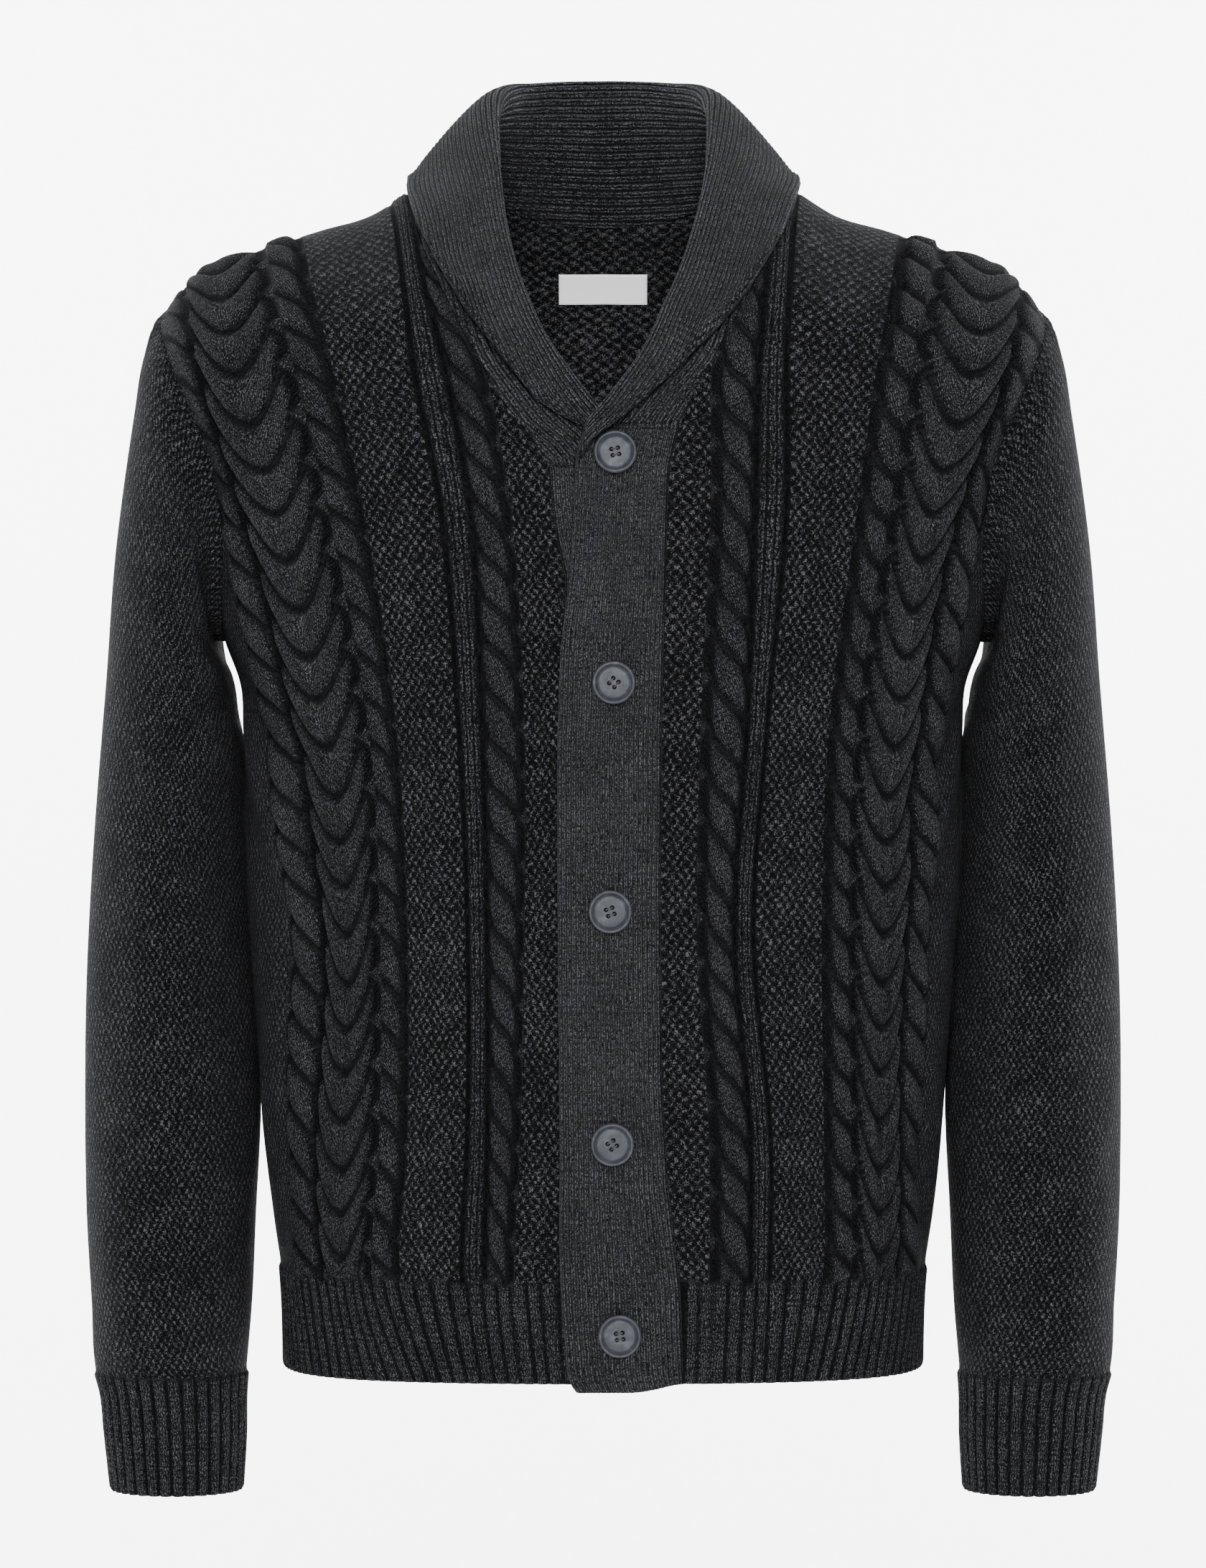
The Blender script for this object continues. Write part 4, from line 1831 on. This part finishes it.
    def build(self, finish: Material) -> Thing:
        """Make the collar."""
        hidden, shown = self.form()
        points = self.refined(shown, self.along, self.across)
        relief = self.knit(points)
        waves = np.linspace(0.0, 1.0, self.along)[:, None]
        fallen = smooth_step((np.linspace(0.0, 1.0, self.across)[None, :] - 0.62) / 0.3)
        ripple = 0.0016 * np.sin(waves * 71.0) * np.sin(waves * 23.0 + 1.0) * fallen
        ripple = ripple * smooth_step(np.minimum(waves, 1 - waves) / 0.10)
        points = points + surface_normals(points) * (-relief.lift - ripple)[..., None]
        outer = grid_skin(points, relief, self.chart_size, True)
        points = self.refined(hidden, self.hidden_along, self.hidden_across)
        relief = self.knit(points)
        points = points + surface_normals(points) * relief.lift[..., None]
        inner = grid_skin(points, relief, self.chart_size, True)
        return wall(self.name, outer, inner, [np.array([0.0, 0.0])], finish)


# ------------------------------------------------------------------ stitches that repeat
class StitchTree:
    """Geometry nodes that sew a row of short stitches along an edge."""

    JITTER = 0.16

    def __init__(self) -> None:
        """Build the tree."""
        tree = bpy.data.node_groups.new("sewn_stitches", "GeometryNodeTree")
        self.tree = tree
        face = tree.interface
        face.new_socket("Path", in_out="INPUT", socket_type="NodeSocketGeometry")
        self.names = {}
        for title, kind, value in (("Spacing", "Float", 0.0035), ("Length", "Float", 0.0030),
                                   ("Thickness", "Float", 0.0009), ("Slant", "Float", 0.0),
                                   ("Seed", "Int", 1), ("Finish", "Material", None)):
            socket = face.new_socket(title, in_out="INPUT", socket_type=f"NodeSocket{kind}")
            if value is not None:
                socket.default_value = value
            self.names[title] = socket.identifier
        face.new_socket("Stitches", in_out="OUTPUT", socket_type="NodeSocketGeometry")

        def add(kind: str, **feeds: Socket | float | tuple) -> bpy.types.Node:
            """Add a node and feed its inputs; i0 is its first input, and other names are titles."""
            node = tree.nodes.new(kind)
            for title, source in feeds.items():
                socket = node.inputs[int(title[1:])] if title[1:].isdigit() else node.inputs[title]
                if isinstance(source, Socket):
                    tree.links.new(source, socket)
                else:
                    socket.default_value = source
            return node

        given = add("NodeGroupInput").outputs
        curve = add("GeometryNodeMeshToCurve", i0=given["Path"])
        spaced = add("GeometryNodeResampleCurve", Curve=curve.outputs[0])
        spaced.mode = "LENGTH"
        tree.links.new(given["Spacing"], spaced.inputs["Length"])
        tangent = add("GeometryNodeInputTangent")
        jitter = add("FunctionNodeRandomValue", Seed=given["Seed"])
        jitter.data_type = "FLOAT_VECTOR"
        jitter.inputs["Min"].default_value = (-self.JITTER,) * 3
        jitter.inputs["Max"].default_value = (self.JITTER,) * 3
        lean = add("ShaderNodeVectorMath", i0=tangent.outputs[0], i1=jitter.outputs[0])
        slant = add("ShaderNodeCombineXYZ", Z=given["Slant"])
        leaned = add("ShaderNodeVectorMath", i0=lean.outputs[0], i1=slant.outputs[0])
        turn = add("FunctionNodeAlignEulerToVector", Vector=leaned.outputs[0])
        turn.axis = "X"
        bead = add("GeometryNodeMeshUVSphere", Segments=8, Rings=5, Radius=0.5)
        size = add("ShaderNodeCombineXYZ", X=given["Length"], Y=given["Thickness"], Z=given["Thickness"])
        sewn = add("GeometryNodeInstanceOnPoints", Points=spaced.outputs[0], Instance=bead.outputs["Mesh"],
                   Rotation=turn.outputs[0], Scale=size.outputs[0])
        real = add("GeometryNodeRealizeInstances", i0=sewn.outputs[0])
        smooth = add("GeometryNodeSetShadeSmooth", Geometry=real.outputs[0])
        dressed = add("GeometryNodeSetMaterial", Geometry=smooth.outputs[0], Material=given["Finish"])
        add("NodeGroupOutput", i0=dressed.outputs[0])

    def sew(self, name: str, paths: Sequence[Array], finish: Material, **sizes: float
            ) -> Thing:
        """Sew stitches along paths.

        Args:
            name: name of the piece.
            paths: rows of points to follow.
            finish: the thread's material.
            **sizes: the tree's named sizes, such as Spacing and Length.

        Returns:
            The stitches as one plain mesh.
        """
        points = []
        edges = []
        for path in paths:
            first = len(points)
            points += [tuple(point) for point in path]
            edges += [(i, i + 1) for i in range(first, len(points) - 1)]
        mesh = bpy.data.meshes.new(name + "_path")
        mesh.from_pydata(points, edges, [])
        guide = bpy.data.objects.new(name + "_path", mesh)
        bpy.context.scene.collection.objects.link(guide)
        modifier = guide.modifiers.new("stitches", "NODES")
        modifier.node_group = self.tree
        for title, value in {**sizes, "Finish": finish}.items():
            modifier[self.names[title]] = value
        guide.update_tag()
        seen = guide.evaluated_get(bpy.context.evaluated_depsgraph_get())
        plain = bpy.data.meshes.new_from_object(seen)
        plain.name = name
        piece = bpy.data.objects.new(name, plain)
        if not piece.data.materials:
            piece.data.materials.append(finish)
        bpy.context.scene.collection.objects.link(piece)
        guide.modifiers.remove(modifier)
        bpy.data.objects.remove(guide)
        return piece


# ------------------------------------------------------------------ buttons and label
@dataclass
class Button:
    """A moulded four-hole button with a raised rim, a ring groove and rounded hole mouths."""

    number: int
    across: float
    level: float
    lean: float
    turn: float
    sides: int = 64
    hole_sides: int = 16
    hole: float = 0.00115
    spacing: float = 0.0026

    MOUTH = 1.15    # how much wider a hole is at its mouth
    LIP = 0.0004    # depth of that mouth
    # Radius from the middle and height, from the underside's rim over the edge to the dish.
    PROFILE = (
        (0.0105, 0.0000), (0.0116, 0.0005), (0.01205, 0.0014), (0.0121, 0.0022), (0.0120, 0.0030),
        (0.0117, 0.0035), (0.0113, 0.0038), (0.0109, 0.0038), (0.0105, 0.0036), (0.0102, 0.0030),
        (0.0100, 0.0023), (0.0098, 0.0018), (0.0095, 0.0017), (0.0092, 0.0020), (0.0089, 0.0024),
        (0.0080, 0.00255), (0.0066, 0.0026),
    )

    def placed(self, flat: Array) -> Array:
        """Put points of the flat button where it lies on the band."""
        lift = UPPER_BAND_LIFT + WALL + SEAM + BUTTON_REST
        place = front_point(np.array([self.across]), np.array([self.level]), np.array([lift]))[0]
        tilt = math.radians(self.lean)
        x, y, height = flat[:, 0], flat[:, 1], flat[:, 2]
        up = y * math.cos(tilt) + height * math.sin(tilt)
        out = height * math.cos(tilt) + (BUTTON_RADIUS - y) * math.sin(tilt)
        return place + np.stack([x, -out, up], axis=1)

    @staticmethod
    def ring(sides: int) -> Array:
        """A circle of radius one."""
        turns = np.arange(sides) * 2 * math.pi / sides
        return np.stack([np.cos(turns), np.sin(turns)], axis=1)

    def holes(self) -> list[Array]:
        """The four holes' middles."""
        turns = np.radians(self.turn + 45 + 90 * np.arange(4))
        return [self.spacing * np.array([math.cos(turn), math.sin(turn)]) for turn in turns]

    def disc(self, rim: Array, hole: float) -> tuple[Array, list[tuple[int, ...]]]:
        """A flat disc with four holes: its points and its triangles."""
        middles = self.holes()
        points = np.vstack([rim, *(middle + self.ring(self.hole_sides) * hole for middle in middles)])
        edges = [(i, (i + 1) % len(rim)) for i in range(len(rim))]
        for first in range(len(rim), len(points), self.hole_sides):
            edges += [(first + i, first + (i + 1) % self.hole_sides) for i in range(self.hole_sides)]
        found = delaunay_2d_cdt([Vector(point) * 1000.0 for point in points], edges, [], 1, 1e-6)
        faces = []
        for face in found[2]:
            centre = points[list(face)].mean(axis=0)
            if all(np.linalg.norm(centre - middle) > hole * 0.98 for middle in middles):
                faces.append(tuple(face))
        return points, faces

    def build(self, finish: Material) -> Thing:
        """Make the button."""
        circle = self.ring(self.sides)
        points = []
        faces = []
        for radius, height in self.PROFILE:
            points += [(x, y, height) for x, y in circle * radius]
        for ring in range(len(self.PROFILE) - 1):
            for i in range(self.sides):
                j = (i + 1) % self.sides
                a, b = ring * self.sides, (ring + 1) * self.sides
                faces.append((a + i, a + j, b + j, b + i))
        levels = []
        for ring, flip in ((0, True), (len(self.PROFILE) - 1, False)):
            radius, height = self.PROFILE[ring]
            flat, triangles = self.disc(circle * radius, self.hole * self.MOUTH)
            first = len(points) - self.sides
            points += [(x, y, height) for x, y in flat[self.sides:]]
            for face in triangles:
                numbers = [ring * self.sides + i if i < self.sides else first + i for i in face]
                faces.append(tuple(reversed(numbers)) if flip else tuple(numbers))
            levels.append(first + self.sides)
        for place, height in ((1, self.LIP), (2, self.PROFILE[-1][1] - self.LIP)):
            levels.insert(place, len(points))
            for middle in self.holes():
                points += [(x, y, height) for x, y in middle + self.ring(self.hole_sides) * self.hole]
        for low, high in zip(levels, levels[1:]):
            for number in range(4):
                for i in range(self.hole_sides):
                    a = number * self.hole_sides + i
                    b = number * self.hole_sides + (i + 1) % self.hole_sides
                    faces.append((low + b, low + a, high + a, high + b))
        name = f"button_{self.number}_moulded"
        mesh = bpy.data.meshes.new(name)
        mesh.from_pydata(self.placed(np.array(points)).tolist(), [], faces)
        piece = add_object(name, mesh, finish)
        mesh.set_sharp_from_angle(angle=math.radians(55))
        return piece

    def thread_paths(self) -> list[Array]:
        """Where the thread crosses between the holes."""
        a, b, c, d = self.holes()
        top = self.PROFILE[-1][1] + 0.0001
        paths = []
        for start, end in ((a, b), (d, c)):
            for beside in (-0.00022, 0.00022):
                way = (end - start) / np.linalg.norm(end - start)
                off = np.array([-way[1], way[0]]) * beside
                flat = np.array([[*(start + off + (end - start) * s), top + 0.0004 * math.sin(math.pi * s)]
                                 for s in (0.0, 0.25, 0.5, 0.75, 1.0)])
                paths.append(self.placed(flat))
        return paths


@dataclass
class NeckLabel:
    """The blank woven label, folded under at its ends."""

    name: str = "neck_label_woven"
    columns: int = 49
    rows: int = 17

    def points(self, off: float, inset: float) -> Array:
        """A grid of points at a distance inside the back."""
        low = cloth_height_of(0.0, LABEL_CENTRE - LABEL_HEIGHT / 2 + inset, True)
        high = cloth_height_of(0.0, LABEL_CENTRE + LABEL_HEIGHT / 2 - inset, True)
        reach = LABEL_WIDTH / 2 - inset
        chart = []
        for height in np.linspace(low, high, self.rows):
            for across in np.linspace(-reach, reach, self.columns):
                angle = math.copysign(angle_across(abs(across), float(height)), across)
                chart.append((angle * BackCloth.SCALE, height))
        chart = np.array(chart)
        cloth = BackCloth()
        placed = cloth.points(chart) - chart_normals(cloth, chart) * off
        return placed.reshape(self.rows, self.columns, 3)

    def build(self, finish: Material) -> Thing:
        """Make the label."""
        back = self.points(WALL + LABEL_GAP, 0.0)
        front = self.points(WALL + LABEL_GAP + LABEL_THICK, 0.00025)
        across = np.linspace(-1.0, 1.0, self.columns)[None, :]
        up = np.linspace(-1.0, 1.0, self.rows)[:, None]
        bow = 0.0004 * (1 - across ** 8) * (1 - up ** 2) * (0.6 + 0.4 * np.sin(across * 7.0))
        fold = -0.0003 * bell(np.abs(across) - 0.90, 0.02)
        front = front + np.array([0.0, -1.0, 0.0]) * (bow + fold)[..., None]
        flat = Relief.moss_ground(np.zeros((self.rows, self.columns, 2)))
        outer = grid_skin(front, flat, (LABEL_WIDTH, LABEL_HEIGHT))
        inner = grid_skin(back, flat, (LABEL_WIDTH, LABEL_HEIGHT))
        return wall(self.name, outer, inner, [np.array([0.0, 0.0])], finish)

    def stitch_paths(self) -> list[Array]:
        """Rows of stitches at both ends of the label."""
        front = self.points(WALL + LABEL_GAP + LABEL_THICK + 0.0004, 0.0008)
        return [front[:, 1], front[:, -2]]


# ------------------------------------------------------------------ the studio
@dataclass(frozen=True)
class Studio:
    """Camera, soft lights and a pale paper sweep."""

    distance: float = 3.2
    level: float = -0.3326
    metres_per_pixel: float = 0.00042
    pixels_tall: int = 2184
    sensor: float = 36.0

    def camera(self) -> None:
        """Set the camera at the photograph's viewing angle."""
        data = bpy.data.cameras.new("camera")
        half = self.metres_per_pixel * self.pixels_tall / 2
        data.sensor_width = self.sensor
        data.lens = self.sensor / 2 / (half / self.distance)
        data.clip_start = 0.05
        data.clip_end = 60.0
        camera = bpy.data.objects.new("camera", data)
        camera.location = (0.0, -self.distance, self.level)
        camera.rotation_euler = (math.pi / 2, 0.0, 0.0)
        bpy.context.scene.collection.objects.link(camera)
        bpy.context.scene.camera = camera

    def light(self, name: str, place: tuple[float, float, float], size: float, power: float,
              aim: tuple[float, float, float] | None = None) -> None:
        """Add a soft square light that faces a point, the garment's middle if none is given."""
        data = bpy.data.lights.new(name, "AREA")
        data.energy = power
        data.size = size
        lamp = bpy.data.objects.new(name, data)
        lamp.location = place
        way = Vector(aim or (0.0, 0.0, self.level)) - Vector(place)
        lamp.rotation_euler = way.to_track_quat("-Z", "Y").to_euler()
        bpy.context.scene.collection.objects.link(lamp)

    def sweep(self, finish: Material) -> None:
        """Add the paper: a floor that curves up into a wall behind."""
        floor, wall_place, curve, half_width = -1.35, 4.6, 1.2, 9.0
        turns = np.linspace(0.0, math.pi / 2, 17)
        profile = [(-7.0, floor)]
        profile += [(wall_place - curve * (1 - math.sin(turn)), floor + curve * (1 - math.cos(turn)))
                    for turn in turns]
        profile.append((wall_place, 5.0))
        points = [(x, y, z) for y, z in profile for x in (-half_width, half_width)]
        faces = [(2 * i, 2 * i + 1, 2 * i + 3, 2 * i + 2) for i in range(len(profile) - 1)]
        mesh = bpy.data.meshes.new("paper_sweep")
        mesh.from_pydata(points, [], faces)
        add_object("paper_sweep", mesh, finish)

    def build(self) -> None:
        """Set up the whole studio."""
        self.camera()
        self.sweep(PaperFinish().make())
        for name, place, size, power in (("front", (0.0, -3.9, 0.70), 1.3, 330.0),
                                         ("key", (-1.9, -2.4, 1.7), 1.4, 34.0),
                                         ("fill", (2.1, -2.6, 0.7), 1.8, 26.0),
                                         ("top", (0.0, 0.2, 2.4), 1.6, 10.0)):
            self.light(name, place, size, power)
        for name, side in (("paper_left", -1.0), ("paper_right", 1.0)):
            self.light(name, (2.8 * side, 1.2, 1.4), 2.0, 900.0, (0.6 * side, 4.6, 0.2))
        world = bpy.data.worlds.new("studio_air")
        world.use_nodes = True
        air = world.node_tree.nodes["Background"].inputs
        air[0].default_value = (0.95, 0.97, 1.0, 1.0)
        air[1].default_value = 0.28
        bpy.context.scene.world = world


# ------------------------------------------------------------------ the garment
class Slot(Enum):
    """The record's material slots."""

    BODY = "knit_body"
    RIB = "knit_rib"
    BUTTON = "button_plastic"
    LABEL = "label_cloth"


def put_in_place(piece: Thing, node: str | None = None) -> Thing:
    """Hang a piece on the garment's one body and the solid that it stands for."""
    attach(piece, "root")
    if node:
        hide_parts(node)
    LOG.info("%s: %d faces", piece.name, len(piece.data.polygons))
    return piece


@dataclass(frozen=True)
class Cut:
    """Flat size of a knitted piece before it was sewn: width, length and area."""

    width: float
    length: float
    area: float

    def declare(self, piece: Thing, rests_on: str, held: str = "hung", with_pieces: Sequence = ()
                ) -> None:
        """Say that the piece is a sheet of this cut."""


FRONT_CUT = Cut(0.30, 0.74, 0.176)
BACK_CUT = Cut(0.56, 0.74, 0.345)
SLEEVE_CUT = Cut(0.45, 0.60, 0.190)
COLLAR_CUT = Cut(0.80, 0.175, 0.100)
BAND_CUT = Cut(0.062, 0.545, 0.0300)
LABEL_CUT = Cut(LABEL_WIDTH + 0.012, LABEL_HEIGHT, LABEL_WIDTH * LABEL_HEIGHT)


def build_knitting(body: Material, rib: Material) -> None:
    """Build the knitted pieces and hang them in place.

    Args:
        body: the finish of the panels and sleeves.
        rib: the finish of the bands and the collar.
    """
    back = Back()
    knitted = (
        (back, body, Slot.BODY, "back_panel", BACK_CUT, "shawl_collar_knit"),
        (Front("right_front_knit", -1.0, RIGHT_COLUMNS, RIGHT_EDGE, RIGHT_COLLAR, 0.4),
         body, Slot.BODY, "right_front", FRONT_CUT, back.name),
        (Front("left_front_knit", 1.0, LEFT_COLUMNS, LEFT_EDGE, LEFT_COLLAR, 1.3),
         body, Slot.BODY, "left_front", FRONT_CUT, back.name),
        (Sleeve("right_sleeve_knit", -1.0, 0.7), body, Slot.BODY, "right_sleeve", SLEEVE_CUT, back.name),
        (Sleeve("left_sleeve_knit", 1.0, 2.6), body, Slot.BODY, "left_sleeve", SLEEVE_CUT, back.name),
        (Band("button_band_knit", False), rib, Slot.RIB, "button_band", BAND_CUT, "right_front_knit"),
        (Band("buttonhole_band_knit", True), rib, Slot.RIB, "buttonhole_band", BAND_CUT, "left_front_knit"),
        (ShawlCollar(), rib, Slot.RIB, "shawl_collar", COLLAR_CUT, back.name),
    )
    for maker, finish, slot, node, cut, rests_on in knitted:
        cut.declare(put_in_place(maker.build(finish), node), rests_on)


def build_garment() -> None:
    """Build every piece of the cardigan and hang it in place."""
    body = YarnFinish("charcoal_moss_knit").make()
    rib = YarnFinish("charcoal_rib_knit", tones=(0.0002, 0.0010, 0.0050, 0.0168, 0.0660), depth=0.0010,
                     fuzz=3.2, stir=0.35, rows=0.22, sheen=0.05).make()
    thread = ThreadFinish("dark_thread", (0.030, 0.030, 0.034)).make()
    white_thread = ThreadFinish("white_thread", (0.75, 0.75, 0.76)).make()
    plastic = ButtonFinish().make()
    woven = LabelFinish().make()
    sewing = StitchTree()
    build_knitting(body, rib)
    threads = []
    for number, (across, level, lean, turn) in enumerate(BUTTONS, start=1):
        button = Button(number, float(across), float(level), float(lean), float(turn))
        put_in_place(button.build(plastic), f"button_{number}")
        threads += button.thread_paths()
    sewn = sewing.sew("button_threads", threads, thread, Spacing=0.0005, Length=0.0009, Thickness=0.00045)
    put_in_place(sewn)
    label = NeckLabel()
    piece = put_in_place(label.build(woven), "neck_label")
    ends = sewing.sew("label_stitches", label.stitch_paths(), white_thread, Spacing=0.0016, Length=0.0013,
                      Thickness=0.00035, Seed=4)
    LABEL_CUT.declare(piece, "back_panel_knit", "folded", [put_in_place(ends)])


def main() -> None:
    """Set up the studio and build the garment."""
    logging.basicConfig(level=logging.INFO, format="%(name)s: %(message)s")
    Studio().build()
    build_garment()


if __name__ == "__main__":
    main()
